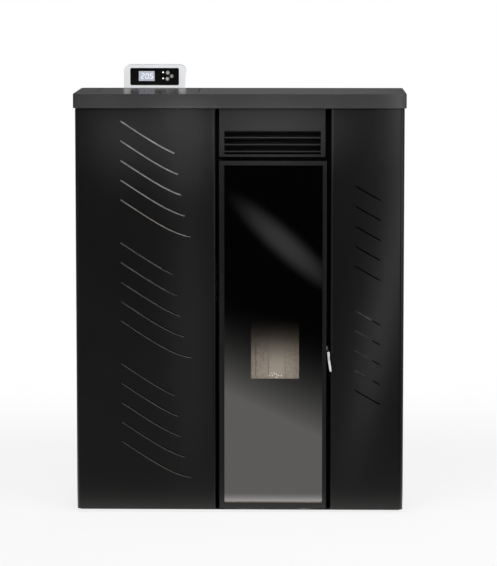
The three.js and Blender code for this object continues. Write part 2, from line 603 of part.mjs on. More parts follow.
function buildFirebox() {
  const { left, right, front, back, bottom, top, wall } = FIREBOX;
  const chuteY = [CHUTE.y - CHUTE.half - 3, CHUTE.y + CHUTE.half + 3];
  const ductHole = box([right - wall - 1, right + 1], [DUCT.y[0] - 2, DUCT.y[1] + 2],
    [DUCT.z[0] - 3, DUCT.z[1] + 3]);
  const smokeOutlet = box([left + 30, right - 30], [-60, 40], [top - wall - 1, top + 1]);
  const shell = box([left, right], [front, back], [bottom, top])
    .subtract(box([left + wall, right - wall], [front + wall, back - wall], [bottom + wall, top - wall]))
    .subtract(box([FIRE_MOUTH.left, FIRE_MOUTH.right], [front - 1, front + wall + 1],
      [FIRE_MOUTH.bottom, FIRE_MOUTH.top]))
    .subtract(smokeOutlet)
    .subtract(rod("y", AIR_PIPE_DIAMETER / 2 - 2, 10, [AIR_PIPE.x, back, AIR_PIPE.z], 28))
    .subtract(rod("y", IGNITER.hole, 10, [POT.x, back, POT.top - IGNITER.below], 16))
    .subtract(ductHole)
    .subtract(box([left - 1, left + wall + 1], chuteY, [484, 576]));
  addPiece("firebox_shell", shell, "stove_paint");

  const innerLeft = left + wall + FIT;
  const innerRight = right - wall - FIT;
  const innerBack = back - wall - FIT;
  const innerFront = front + wall + FIT;
  const potRoom = POT.half + 1;
  const seat = box([innerLeft, innerRight], [innerFront, innerBack], [SEAT.top - SEAT.sheet, SEAT.top])
    .subtract(box([POT.x - potRoom, POT.x + potRoom], [POT.y - potRoom, POT.y + potRoom],
      [SEAT.top - SEAT.sheet - 1, SEAT.top + 1]));
  addPiece("burn_pot_seat", seat, "cast_iron");

  const { rib, groove } = LINER;
  const linerFront = innerBack - LINER.back;
  const slabs = box([innerLeft, innerRight], [linerFront, innerBack], [LINER.bottom, LINER.top])
    .add(box(rib.x, [linerFront - rib.height, linerFront + 1], [LINER.bottom, LINER.top]));
  const grooves = [-1, 1].map((side) => {
    const x = groove.centre + side * groove.spread;
    return box([x - groove.width / 2, x + groove.width / 2], [linerFront - 1, linerFront + groove.depth],
      [LINER.bottom - 1, LINER.top + 1]);
  });
  addPiece("liner_back", slabs.subtract(union(grooves)), "vermiculite");

  const sideRange = [innerFront + 8, linerFront - FIT];
  const leftLiner = box([innerLeft, innerLeft + LINER.side], sideRange, [LINER.bottom, LINER.top])
    .subtract(box([left, left + 40], chuteY, [474, 570]));
  addPiece("liner_left", leftLiner, "vermiculite");
  addPiece("liner_right", box([innerRight - LINER.side, innerRight], sideRange, [LINER.bottom, LINER.top]),
    "vermiculite");
  const baffle = { front: innerFront + 30, back: linerFront - FIT - 6, rise: 12, thickness: 16 };
  const underside = [[baffle.front, LINER.top], [baffle.back, LINER.top + FIT + baffle.rise]];
  const topside = underside.map(([y, z]) => [y, z + baffle.thickness]).reverse();
  addPiece("baffle_plate", carriedAcross([...underside, ...topside], [innerLeft, innerRight]), "vermiculite");
}

/** Cast pot: a tapered open box with a rim, an air grid in its floor and air holes round its walls. */
function buildBurnPot() {
  const group = addGroup("pot", [POT.x, POT.y, POT.top]);
  const { half, depth, wall, flange, taper, rim } = POT;
  const square = (size) => [[-size, size], [-size, size]];
  const outside = funnel(square(half - taper), -depth, square(half), 0);
  const inside = funnel(square(half - taper - wall), -depth + wall, square(half - wall), 1);
  const collar = box([-half - flange, half + flange], [-half - flange, half + flange], [-rim, 0]);
  const holes = [];
  for (let column = -1; column <= 1; column += 1) {
    for (let row = -1; row <= 1; row += 1) {
      holes.push(rod("z", 3, 8, [column * 16, row * 16, -depth + 1], 6));
    }
    holes.push(rod("y", 2.5, 2 * half + 4, [column * 17, 0, -20], 6));
    holes.push(rod("x", 2.5, 2 * half + 4, [0, column * 17, -20], 6));
  }
  holes.push(rod("y", IGNITER.radius + 1, 20, [0, half - taper / 2, -IGNITER.below], 12));
  const pot = outside.add(collar).subtract(inside).subtract(union(holes));
  addPiece("burn_pot", pot, "cast_iron", group);
}

function buildAshPan() {
  const { height, sheet, inset, pull } = ASH_PAN;
  const bottom = FIREBOX.bottom + FIREBOX.wall + FIT;
  const [x0, x1] = [FIRE_MOUTH.left + inset, FIRE_MOUTH.right - inset];
  const [y0, y1] = [FIREBOX.front + ASH_PAN.front, FIREBOX.back - ASH_PAN.back];
  const pan = box([x0, x1], [y0, y1], [bottom, bottom + height])
    .subtract(box([x0 + sheet, x1 - sheet], [y0 + sheet, y1 - sheet], [bottom + sheet, bottom + height + 1]));
  const lipZ = bottom + height - pull.drop;
  const lipY = y0 + 1 - pull.reach;
  const lipPath = roundedPath([[y0 + 1, lipZ], [lipY, lipZ, 2], [lipY, lipZ - pull.drop]]);
  const lip = carriedAcross(sheetOutline(lipPath, sheet), [BAY_CENTRE - pull.half, BAY_CENTRE + pull.half]);
  addPiece("ash_pan", pan.add(lip), "galvanised");
}

function buildIgniter() {
  const tip = POT.y + POT.half + 1;
  const tail = FIREBOX.back + 24;
  const z = POT.top - IGNITER.below;
  const cartridge = rod("y", IGNITER.radius, tail - tip, [POT.x, (tip + tail) / 2, z], 14);
  const collar = rod("y", IGNITER.collar, 5, [POT.x, FIREBOX.back + FIT + 2.5, z], 14);
  addPiece("igniter", cartridge.add(collar), "steel");
}

const EXCHANGER = { side: 4, y: [-96, 58], roof: 842, wall: 3,
  fins: { count: 9, sheet: 3, z: [786, 868], inset: 10 } };

/** Smoke box on the firebox: its fins pass through the roof, into the smoke below and the room air above. */
function buildHeatExchanger() {
  const { side, y, roof, wall, fins } = EXCHANGER;
  const bottom = FIREBOX.top + FIT;
  const [x0, x1] = [FIREBOX.left + side, FIREBOX.right - side];
  const smokeBox = box([x0, x1], y, [bottom, roof])
    .subtract(box([x0 + wall, x1 - wall], [y[0] + wall, y[1] - wall], [bottom - 1, roof - wall]));
  const blades = [];
  for (let index = 1; index <= fins.count; index += 1) {
    const x = x0 + ((x1 - x0) * index) / (fins.count + 1);
    blades.push(box([x - fins.sheet / 2, x + fins.sheet / 2], [y[0] + fins.inset, y[1] - fins.inset], fins.z));
  }
  addPiece("heat_exchanger", union([smokeBox, ...blades]), "stove_paint");
}

// ---------------------------------------------------------------- pellet feed

const HOPPER = { left: -HALF_BODY + SHEET + FIT, right: -90, front: FRONT + 16, back: 78, sheet: 1.5,
  kneeZ: 760, throatZ: 566, neckZ: 500, throat: [[-290, -226], [-12, 52]],
  mouth: [[-352, -114], [LID.front + 8, LID.back - 8]] };
const GUARD = { z: 640, sheet: 3, columns: 4, rows: 3, bar: 3 };
const AUGER = { y: 20, low: [-320, 462], high: [-76, 638], tubeRadius: 31, wall: 2.5, flight: 26, core: 8,
  pitch: 42, blade: 3 };
const AUGER_ANGLE = Math.atan2(AUGER.high[1] - AUGER.low[1], AUGER.high[0] - AUGER.low[0]);
const AUGER_LENGTH = Math.hypot(AUGER.high[1] - AUGER.low[1], AUGER.high[0] - AUGER.low[0]);

/** Room that the auger tube needs, with everything below its axis on the right. */
function augerRoom() {
  const { low, tubeRadius, y } = AUGER;
  const geometry = new THREE.CylinderGeometry(tubeRadius + FIT, tubeRadius + FIT, AUGER_LENGTH + 80, 24);
  geometry.applyMatrix4(AXIS_TURN.z);
  const below = new THREE.BoxGeometry(90, 2 * tubeRadius + 20, AUGER_LENGTH + 80);
  below.translate(45, 0, 0);
  const placed = [geometry, below].map((shape) => {
    shape.translate(0, 0, AUGER_LENGTH / 2);
    shape.rotateY(Math.PI / 2 - AUGER_ANGLE);
    shape.translate(low[0], y, low[1]);
    return solid(shape);
  });
  return union(placed);
}

function buildHopper(mouthZ) {
  const { left, right, front, back, sheet, kneeZ, throatZ, neckZ, throat, mouth } = HOPPER;
  const shrink = ([[x0, x1], [y0, y1]], by) => [[x0 + by, x1 - by], [y0 + by, y1 - by]];
  const plan = [[left, right], [front, back]];
  const topZ = mouthZ - FIT;
  const outside = box(...plan, [kneeZ, topZ]).add(funnel(throat, throatZ, plan, kneeZ))
    .add(box(...throat, [neckZ, throatZ]));
  const inside = box(...shrink(plan, sheet), [kneeZ, topZ - sheet])
    .add(funnel(shrink(throat, sheet), throatZ, shrink(plan, sheet), kneeZ))
    .add(box(...shrink(throat, sheet), [neckZ - 1, throatZ]));
  const body = outside.subtract(inside).subtract(box(...mouth, [topZ - 5, topZ + 1])).subtract(augerRoom());
  addPiece("pellet_hopper", body, "galvanised");

  const part = (GUARD.z - throatZ) / (kneeZ - throatZ);
  const at = (axis, end) => throat[axis][end] + (plan[axis][end] - throat[axis][end]) * part;
  const clear = sheet + 2.5;
  const [x0, x1] = [at(0, 0) + clear, at(0, 1) - clear];
  const [y0, y1] = [at(1, 0) + clear, at(1, 1) - clear];
  const { columns, rows, bar } = GUARD;
  const cellX = (x1 - x0 - bar) / columns;
  const cellY = (y1 - y0 - bar) / rows;
  const gaps = [];
  for (let column = 0; column < columns; column += 1) {
    for (let row = 0; row < rows; row += 1) {
      const x = x0 + bar + column * cellX;
      const y = y0 + bar + row * cellY;
      gaps.push(box([x, x + cellX - bar], [y, y + cellY - bar], [GUARD.z - 1, GUARD.z + GUARD.sheet + 1]));
    }
  }
  const grid = box([x0, x1], [y0, y1], [GUARD.z, GUARD.z + GUARD.sheet]).subtract(union(gaps));
  addPiece("hopper_guard_grid", grid, "steel");
}

/** Screw blade: a thin strip that winds about the local Z axis, closed at both ends. */
function screwFlight(inner, outer, thickness, pitch, length, stepsPerTurn = 12) {
  const steps = Math.round((length / pitch) * stepsPerTurn);
  const points = [];
  const faces = [];
  for (let step = 0; step <= steps; step += 1) {
    const angle = (2 * Math.PI * step) / stepsPerTurn;
    const z = (pitch * step) / stepsPerTurn;
    [[inner, 0], [outer, 0], [outer, thickness], [inner, thickness]].forEach(([radius, lift]) => {
      points.push(radius * Math.cos(angle), radius * Math.sin(angle), z + lift);
    });
  }
  for (let step = 0; step < steps; step += 1) {
    for (let side = 0; side < 4; side += 1) {
      const a = step * 4 + side;
      const b = step * 4 + ((side + 1) % 4);
      faces.push(a, b + 4, b, a, a + 4, b + 4);
    }
  }
  const last = steps * 4;
  faces.push(0, 1, 2, 0, 2, 3, last, last + 2, last + 1, last, last + 3, last + 2);
  const geometry = new THREE.BufferGeometry();
  geometry.setAttribute("position", new THREE.Float32BufferAttribute(points, 3));
  geometry.setIndex(faces);
  return solid(geometry);
}

/** The feed group's own Z axis climbs along the auger from its motor to the chute. */
function buildFeed() {
  const group = addGroup("feed", [AUGER.low[0], AUGER.y, AUGER.low[1]]);
  group.rotation.y = Math.PI / 2 - AUGER_ANGLE;
  const length = AUGER_LENGTH;
  const { tubeRadius, wall, flight, core, pitch, blade } = AUGER;

  const inletMiddle = 104;
  const cut = (from, to, up) => box(up > 0 ? [-40, -14] : [14, 40], [-24, 24], [from, to]);
  const barrel = tube("z", tubeRadius, tubeRadius - wall, length, [0, 0, length / 2], 24)
    .add(rod("z", tubeRadius, 3, [0, 0, 1.5], 24))
    .subtract(rod("z", core + 0.5, 10, [0, 0, 2], 16))
    .subtract(cut(inletMiddle - 30, inletMiddle + 30, 1))
    .subtract(cut(length - 62, length - 8, -1));
  addPiece("auger_tube", barrel, "steel", group);

  const flightStart = 8;
  const flightLength = length - 24;
  const screw = rod("z", core, length + 18, [0, 0, length / 2 - 12], 16)
    .add(screwFlight(core - 1, flight, blade, pitch, flightLength).translate(0, 0, flightStart));
  addPiece("auger_screw", screw, "steel", group);

  const gearbox = box([-26, 26], [-26, 26], [-46, -FIT])
    .add(rod("z", 24, 40, [0, 0, -65], 20))
    .subtract(rod("z", core + 0.5, 30, [0, 0, -14.5], 16));
  addPiece("auger_gearmotor", gearbox, "cast_aluminium", group);
}

/** Height of the auger tube's underside above the floor, at a distance from the left. */
const tubeUnderside = (x) => {
  const slope = Math.tan(AUGER_ANGLE);
  return AUGER.high[1] - (AUGER.high[0] - x) * slope - AUGER.tubeRadius / Math.cos(AUGER_ANGLE);
};

function buildChute() {
  const { y, half, wall, left, right, knee, floor, endX, fall, mouth } = CHUTE;
  const above = knee + 50;
  const end = floor - (endX - left) * fall;
  const outer = carriedBack([[left, tubeUnderside(left) - 1], [left, floor], [endX, end], [endX, end + mouth],
    [right, knee], [right, tubeUnderside(right) - 1]], [y - half, y + half]);
  const steep = wall * Math.hypot(1, fall);
  const inner = carriedBack([[left + wall, above], [left + wall, floor + steep - fall * wall],
    [endX + 1, end + steep], [endX + 1, end + mouth - steep], [right - wall, knee - wall],
    [right - wall, above]], [y - half + wall, y + half - wall]);
  addPiece("pellet_chute", outer.subtract(inner), "galvanised");
}

// ---------------------------------------------------------------- fans and ducts

const SMOKE_FAN = { x: [262, 318], y: 8, z: 200, wheel: 60, wall: 3, clearance: 18, throat: 42 };
const DUCT = { y: [-38, 28], z: [203, 259], sheet: 2 };

/** Round housing beside the firebox: smoke comes in by a square duct and leaves backwards into the flue. */
function buildSmokeFan() {
  const { x: [x0, x1], y, z, wheel, wall, clearance, throat } = SMOKE_FAN;
  const middleX = (x0 + x1) / 2;
  const outer = wheel + clearance;
  const throatBack = BACK - SHEET - 4;
  const [throatLow, throatHigh] = [FLUE.z - throat, FLUE.z + throat];
  const casing = rod("x", outer, x1 - x0, [middleX, y, z], 28)
    .add(box([x0, x1], [y, throatBack], [throatLow, throatHigh]));
  const hollow = rod("x", outer - wall, x1 - x0 - 2 * wall, [middleX, y, z], 28)
    .add(box([x0 + wall, x1 - wall], [y, throatBack - wall], [throatLow + wall, throatHigh - wall]));
  const inlet = rod("x", 28, 3 * wall, [x0, y, z + 12], 24);
  const outlet = rod("y", (x1 - x0) / 2 - wall, 3 * wall, [middleX, throatBack, FLUE.z], 28);
  const shaftHole = rod("x", 5, 3 * wall, [x1, y, z], 14);
  const duct = box([FIREBOX.right + FIT, x0 + wall], DUCT.y, DUCT.z)
    .subtract(box([FIREBOX.right - 1, x0 + wall + 1], [DUCT.y[0] + DUCT.sheet, DUCT.y[1] - DUCT.sheet],
      [DUCT.z[0] + DUCT.sheet, DUCT.z[1] - DUCT.sheet]));
  const housing = casing.subtract(hollow).subtract(union([inlet, outlet, shaftHole])).add(duct);
  addPiece("extractor_housing", housing, "cast_aluminium");

  // Open wheel with straight paddles, which soot does not clog.
  const [wheelLeft, wheelRight] = [x0 + 10, x1 - 8];
  const wheelMiddle = (wheelLeft + wheelRight) / 2;
  const paddleHeight = wheel - 14;
  const paddles = [];
  for (let index = 0; index < 8; index += 1) {
    const geometry = new THREE.BoxGeometry(wheelRight - wheelLeft, 2, paddleHeight);
    geometry.translate(wheelMiddle, 0, paddleHeight / 2 + 12);
    geometry.rotateX((index * Math.PI) / 4);
    paddles.push(solid(geometry));
  }
  const disc = rod("x", wheel, 2, [wheelRight - 1, 0, 0], 24);
  const hub = rod("x", 13, wheelRight - wheelLeft, [wheelMiddle, 0, 0], 16);
  const axle = rod("x", 4, 30, [wheelRight + 14, 0, 0], 14);
  const wheelGroup = addGroup("smoke_wheel", [0, y, z]);
  addPiece("extractor_impeller", union([disc, hub, axle, ...paddles]), "steel", wheelGroup);

  const motor = rod("x", 34, 42, [x1 + FIT + 21, y, z], 24)
    .add(rod("x", 44, 3, [x1 + FIT + 1.5, y, z], 24))
    .subtract(rod("x", 4.6, 40, [x1 + 18, y, z], 14));
  addPiece("extractor_motor", motor, "dark_plastic");
}

function buildFlue() {
  const radius = FLUE_DIAMETER / 2;
  const start = BACK - SHEET - 3.7;
  const end = BACK + FLUE_REACH;
  const spigot = tube("y", radius, radius - 1.5, end - start, [FLUE.x, (start + end) / 2, FLUE.z], 24)
    .add(tube("y", radius + 1.2, radius - 1, 4, [FLUE.x, end - 12, FLUE.z], 24));
  const flangeSheet = 1.5;
  const flange = tube("y", radius + 12, radius - 1, flangeSheet,
    [FLUE.x, BACK + FIT + flangeSheet / 2, FLUE.z], 24);
  addPiece("flue_spigot", spigot.add(flange), "stove_paint");

  const airRadius = AIR_PIPE_DIAMETER / 2;
  const airEnd = BACK + 22;
  const airStart = FIREBOX.back + FIT;
  const pipe = tube("y", airRadius, airRadius - 1.5, airEnd - airStart,
    [AIR_PIPE.x, (airStart + airEnd) / 2, AIR_PIPE.z], 24);
  addPiece("air_inlet_pipe", pipe, "steel");
}

const ROOM_FAN = { x: [-30, 150], y: 60, z: 88, wheel: 38, sheet: 1.5, clearance: 8, blades: 13,
  bladeTilt: 0.6 };

function buildRoomFan() {
  const { x: [x0, x1], y, z, wheel, sheet, clearance, blades: bladeCount, bladeTilt } = ROOM_FAN;
  const reach = wheel + clearance;
  const floor = BASE.bottom + BASE.sheet + FIT;
  const ceiling = FIREBOX.bottom - 8;
  // Scroll of a cross-flow fan: it wraps the wheel from the intake at the back to the outlet above.
  const arc = [];
  for (let step = 0; step <= 14; step += 1) {
    const angle = Math.PI * (-0.42 - 0.93 * (step / 14));
    arc.push([y + reach * Math.cos(angle), z + reach * Math.sin(angle)]);
  }
  const scroll = sheetOutline([...arc, [y - reach * 0.55, ceiling - 2]], sheet);
  const [near, far] = [y - reach - 4, y + reach + 1];
  const cheekOutline = [[near, floor], [far, floor], [far, z + reach], [y + reach - 20, ceiling],
    [near, ceiling]];
  const cheek = (from) => carriedAcross(cheekOutline, [from, from + sheet]);
  const housing = union([carriedAcross(scroll, [x0, x1]), cheek(x0), cheek(x1 - sheet)])
    .subtract(rod("x", 6, x1 - x0 + 20, [(x0 + x1) / 2, y, z], 14));
  addPiece("room_fan_housing", housing, "galvanised");

  const group = addGroup("room_wheel", [(x0 + x1) / 2, y, z]);
  const length = x1 - x0 - 12;
  const blades = [];
  for (let index = 0; index < bladeCount; index += 1) {
    const geometry = new THREE.BoxGeometry(length, 1.4, 10);
    geometry.rotateX(bladeTilt);
    geometry.translate(0, 0, wheel - 7);
    geometry.rotateX((2 * Math.PI * index) / bladeCount);
    blades.push(solid(geometry));
  }
  const discs = [-1, 0, 1].map((side) => rod("x", wheel, 2, [side * (length / 2 - 1), 0, 0], 16));
  const axle = rod("x", 4, x1 - x0 + 26, [6, 0, 0], 12);
  addPiece("room_fan_wheel", union([...discs, ...blades, axle]), "cast_aluminium", group);

  const motor = rod("x", 26, 36, [x1 + FIT + 18, y, z], 20)
    .subtract(rod("x", 4.6, 60, [x1 + 8, y, z], 12));
  addPiece("room_fan_motor", motor, "dark_plastic");
}

// ---------------------------------------------------------------- electrics and shields

const BOARD_CASE = { depth: 42, y: [-70, 70], z: [560, 790], wall: 3 };
const SOCKET = { offset: -10, halfX: 12, halfZ: 8, depth: 16, pinPitch: 7 };
const ROCKER = { offset: 15, halfX: 6.5, halfZ: 10, depth: 12 };
const SHIELD = { left: 229.5, right: 329, front: FRONT + 17, reach: 110, sheet: 1.5, z: [323, 524] };

function buildElectrics() {
  const caseX = HALF_BODY - SHEET - FIT;
  const { depth, wall, y: caseY, z: caseZ } = BOARD_CASE;
  const inset = ([low, high]) => [low + wall, high - wall];
  const boardCase = box([caseX - depth, caseX], caseY, caseZ)
    .subtract(box([caseX - depth - 1, caseX - wall], inset(caseY), inset(caseZ)));
  addPiece("control_board_case", boardCase, "dark_plastic");

  const { x, z, width, height } = INLET;
  const bezel = [BACK + FIT, BACK + 3.3];
  const around = (middle, half) => [middle - half, middle + half];
  const socketX = x + SOCKET.offset;
  const switchX = x + ROCKER.offset;
  const body = box(around(x, width / 2 + 4), bezel, around(z, height / 2 + 3))
    .add(box(around(x, width / 2 - 1), [BACK - 24, bezel[1] - 1], around(z, height / 2 - 1)))
    .subtract(box(around(socketX, SOCKET.halfX), [BACK - SOCKET.depth, bezel[1] + 1], around(z, SOCKET.halfZ)))
    .subtract(box(around(switchX, ROCKER.halfX), [BACK - ROCKER.depth, bezel[1] + 1], around(z, ROCKER.halfZ)));
  const pins = [-1, 0, 1].map((place) =>
    box(around(socketX + place * SOCKET.pinPitch, 1), [BACK - SOCKET.depth - 1, BACK - 1], around(z, 2.5)));
  addPiece("power_inlet", union([body, ...pins]), "dark_plastic");

  const rocker = addGroup("rocker", [switchX, BACK - 2, z]);
  const rockerSide = [[-6, -7], [3.4, -8.6], [4.6, 0], [6.4, 8.2], [-6, 6.5]];
  addPiece("power_switch", carriedAcross(rockerSide, [-6, 6]), "dark_plastic", rocker);

  const { left, right, front, reach, sheet } = SHIELD;
  const flangeY = POST.front + 13;
  const shieldPath = [[POST.rightX[1] + FIT, flangeY], [left, flangeY], [left, front], [right, front],
    [right, FRONT + reach]];
  addPiece("heat_shield", raised(sheetOutline(shieldPath, -sheet), SHIELD.z), "galvanised");
}

// ---------------------------------------------------------------- console

const CONSOLE = { left: -304.6, right: -145.2, top: 1110, bottom: 1006, depth: 25, corner: 16, wall: 2.5 };
const SCREEN = { x: [-266.1, -225.6], z: [1067.6, 1092.6] };
const WINDOW = { x: [-288.4, -162.7], z: [1056.4, 1101], corner: 4 };
const BUTTONS = [[-191.5, 1088.6], [-181.3, 1079.8], [-192.4, 1073]];
const BUTTON = { radius: 4.8, travel: 0.8, proud: 1.6 };

function buildConsole() {
  const front = TOP_BACK + 2;
  const back = front + CONSOLE.depth;
  const { left, right, top, bottom, corner, wall } = CONSOLE;
  const outline = (inset) => roundedPath([[left + inset, bottom + inset], [right - inset, bottom + inset],
    [right - inset, top - inset, corner - inset], [left + inset, top - inset, corner - inset]], 6);
  const insertDepth = 3;
  const opening = carriedBack(roundedRectangle(WINDOW.x, WINDOW.z, WINDOW.corner, 3),
    [front - 1, front + wall + 1]);
  const shell = carriedBack(outline(0), [front, back])
    .subtract(carriedBack(outline(wall), [front + wall, back - wall]))
    .subtract(opening);
  addPiece("console_housing", shell, "pale_plastic");

  // The fascia sits in the housing's opening with its flange behind it.
  const play = FIT;
  const fasciaFront = front + 0.4;
  const flangeFront = front + wall + FIT;
  const flangeBack = flangeFront + insertDepth;
  const inner = (grow) => roundedRectangle([WINDOW.x[0] - grow, WINDOW.x[1] + grow],
    [WINDOW.z[0] - grow, WINDOW.z[1] + grow], WINDOW.corner, 3);
  const screenHole = box([SCREEN.x[0] - play, SCREEN.x[1] + play], [front - 1, flangeBack + 1],
    [SCREEN.z[0] - play, SCREEN.z[1] + play]);
  const buttonHoles = BUTTONS.map(([x, z]) => rod("y", BUTTON.radius + FIT, 20, [x, front + 3, z], 20));
  const fascia = carriedBack(inner(-play), [fasciaFront, flangeBack])
    .add(carriedBack(inner(2), [flangeFront, flangeBack]))
    .subtract(union([screenHole, ...buttonHoles]));
  addPiece("console_fascia", fascia, "dark_plastic");

  const lens = box(SCREEN.x, [fasciaFront + 0.3, flangeBack - 0.5], SCREEN.z);
  addPiece("console_display", lens, "display");

  BUTTONS.forEach(([x, z], index) => {
    const cap = rod("y", BUTTON.radius, 4.2, [0, fasciaFront - BUTTON.proud + 2.1, 0], 20)
      .add(rod("y", BUTTON.radius - 1.6, 5, [0, fasciaFront + 4.5, 0], 14));
    const mesh = addPiece(`console_button_${index + 1}`, cap, "silver_plastic");
    mesh.position.set(x, 0, z);
  });

  // A bent strap on the back panel carries the console behind the top plate.
  const strap = { bottom: 960, top: 1002, halfWidth: 40, sheet: 2 };
  const strapX = [(left + right) / 2 - strap.halfWidth, (left + right) / 2 + strap.halfWidth];
  const bend = sheetOutline([[BACK + FIT, strap.bottom], [BACK + FIT, strap.top], [back - 4, strap.top]],
    -strap.sheet);
  const bracket = carriedAcross(bend, strapX)
    .add(box(strapX, [front + 5, back - 4], [strap.top - 1, bottom - FIT]));
  addPiece("console_bracket", bracket, "black_paint");
}

// ---------------------------------------------------------------- assembly

buildBase();
buildCasing();
buildBackPanel();
buildTopPlate();
const hopperTop = buildLid();
buildLidHinge();
buildPosts();
buildAirOutlet();
const door = buildDoor();
buildDoorHinges();
buildHandle(door);
buildKeeper();
buildFirebox();
buildBurnPot();
buildAshPan();
buildIgniter();
buildHeatExchanger();
buildHopper(hopperTop);
buildFeed();
buildChute();
buildSmokeFan();
buildFlue();
buildRoomFan();
buildElectrics();
buildConsole();

export default stove;
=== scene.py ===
"""Looks, small fittings and studio for the slim pellet stove. Every length is in metres unless it says mm."""
import math

import bmesh
import bpy
from bpy.props import FloatProperty, FloatVectorProperty, IntProperty, PointerProperty
from mathutils import Matrix, Vector


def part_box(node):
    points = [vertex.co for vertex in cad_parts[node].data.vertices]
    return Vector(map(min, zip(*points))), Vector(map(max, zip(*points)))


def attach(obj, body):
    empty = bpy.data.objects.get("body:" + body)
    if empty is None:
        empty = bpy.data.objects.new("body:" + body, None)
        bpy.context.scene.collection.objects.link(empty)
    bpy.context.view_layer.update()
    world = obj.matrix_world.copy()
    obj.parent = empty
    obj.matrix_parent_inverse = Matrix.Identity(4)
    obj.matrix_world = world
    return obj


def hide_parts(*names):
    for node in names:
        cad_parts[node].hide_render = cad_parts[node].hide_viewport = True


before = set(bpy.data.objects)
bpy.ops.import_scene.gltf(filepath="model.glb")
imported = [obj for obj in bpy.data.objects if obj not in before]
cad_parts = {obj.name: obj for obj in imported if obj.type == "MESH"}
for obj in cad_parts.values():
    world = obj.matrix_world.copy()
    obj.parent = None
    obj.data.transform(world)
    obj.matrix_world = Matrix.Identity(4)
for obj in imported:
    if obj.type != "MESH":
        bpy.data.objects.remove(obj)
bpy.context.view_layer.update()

bl_info = {
    "name": "Slim Pellet Stove",
    "version": (1, 0, 0),
    "blender": (4, 5, 0),
    "location": "3D View > Sidebar > Stove",
    "description": "Finishes, small fittings and studio for a slim pellet stove",
    "category": "Object",
}

MM = 0.001

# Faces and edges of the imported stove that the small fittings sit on.
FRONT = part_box("left_casing_panel")[0].y
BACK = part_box("back_panel")[1].y
GLASS_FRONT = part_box("door_glass")[0].y
PANEL_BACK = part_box("door_inner_panel")[1].y
FASCIA_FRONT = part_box("console_fascia")[0].y
FORWARDS = (0, -1, 0)
REARWARDS = (0, 1, 0)

# Slots of the left casing panel: three groups of five, each slot longer than the one above it.
SLOT_LEFT = -0.296
SLOT_TOP = 0.983
SLOT_PITCH = 0.049
SLOT_GROUP_PITCH = 0.3035
SLOT_LENGTHS = (0.134, 0.143, 0.150, 0.160, 0.175)


def linear(code):
    """An sRGB hex colour as linear RGBA."""
    channels = [int(code[i:i + 2], 16) / 255 for i in (1, 3, 5)]
    return tuple(c / 12.92 if c <= 0.04045 else ((c + 0.055) / 1.055) ** 2.4 for c in channels) + (1.0,)


# ---------------------------------------------------------------- what a user would change

def colour_property(name, description, code):
    """A colour that a user can pick."""
    return FloatVectorProperty(name=name, description=description, default=linear(code), size=4, min=0, max=1,
                               subtype="COLOR")


class StoveFinishSettings(bpy.types.PropertyGroup):
    """Colours and textures of the stove's finishes."""
    body_colour: colour_property("Body coat", "Powder coat of the casing and the door frame", "#111111")
    top_colour: colour_property("Top coat", "Powder coat of the top plate and the lid", "#363535")
    paint_colour: colour_property("Heat-resistant paint", "Paint of the firebox and the flue", "#131211")
    board_colour: colour_property("Fire board", "Vermiculite board in the fire chamber", "#a99f93")
    print_colour: colour_property("Glass print", "Black ceramic print on the door glass", "#030303")
    console_colour: colour_property("Console", "Moulded housing of the console", "#e6e8ea")
    peel_size: FloatProperty(name="Orange peel", description="Width of one dimple of the powder coat",
                             default=0.004, min=0.0005, max=0.02, unit="LENGTH")
    spangle_size: FloatProperty(name="Zinc spangle", description="Width of one zinc crystal",
                                default=0.010, min=0.002, max=0.04, unit="LENGTH")


class StoveGlassSettings(bpy.types.PropertyGroup):
    """Clear window that the print leaves in the door glass; the print closing in at its top is painted shade."""
    left: FloatProperty(name="Left edge", description="Left edge of the window, from the stove's middle",
                        default=0.0277, unit="LENGTH")
    right: FloatProperty(name="Right edge", description="Right edge of the window, from the stove's middle",
                         default=0.1487, unit="LENGTH")
    bottom: FloatProperty(name="Bottom edge", description="Bottom edge of the clear window above the floor",
                          default=0.3375, min=0, unit="LENGTH")
    # The print closes in over the window's upper part as painted shade, darkening the chamber seen through it.
    painted_shade_start: FloatProperty(name="Clear up to", description="Height at which the print starts to close in",
                             default=0.333, min=0, unit="LENGTH")
    painted_shade_full: FloatProperty(name="Closed from", description="Height from which the print is closed",
                              default=0.535, min=0, unit="LENGTH")


class StoveFittingSettings(bpy.types.PropertyGroup):
    """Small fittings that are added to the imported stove."""
    screw_head: FloatProperty(name="Screw head", description="Diameter of the casing screws' pan heads",
                              default=0.0075, min=0.003, max=0.02, unit="LENGTH")
    rope_strands: IntProperty(name="Rope strands", description="Strands round the braided door rope",
                              default=8, min=3, max=16)
    temperature: IntProperty(name="Shown temperature", description="Three digits, in tenths of a degree",
                             default=205, min=0, max=999)


class StoveStudioSettings(bpy.types.PropertyGroup):
    """Floor, lamps and backdrop."""
    key_power: FloatProperty(name="Overhead lamp", description="Power of the large lamp above the front",
                             default=27, min=0, unit="POWER")
    right_power: FloatProperty(name="Right strip", description="Power of the tall lamp at the right",
                               default=22, min=0, unit="POWER")
    left_power: FloatProperty(name="Left strip", description="Power of the tall lamp at the left",
                              default=2.5, min=0, unit="POWER")
    rear_power: FloatProperty(name="Rear lamp", description="Power of the lamp behind the stove",
                              default=20, min=0, unit="POWER")
    chamber_power: FloatProperty(name="Fire chamber lamp", description="Power of the lamp in the fire chamber",
                                 default=0.15, min=0, unit="POWER")
    ambient: FloatProperty(name="Ambient", description="Strength of the even light from all round",
                           default=0.24, min=0)


# ---------------------------------------------------------------- nodes and meshes

def node(tree, kind, inputs=None, **settings):
    """Adds a node with its settings; an input gets a value, or a link where it is given a socket."""
    made = tree.nodes.new(kind)
    for key, value in settings.items():
        setattr(made, key, value)
    for key, value in (inputs or {}).items():
        if isinstance(value, bpy.types.NodeSocket):
            tree.links.new(value, made.inputs[key])
        else:
            made.inputs[key].default_value = value
    return made


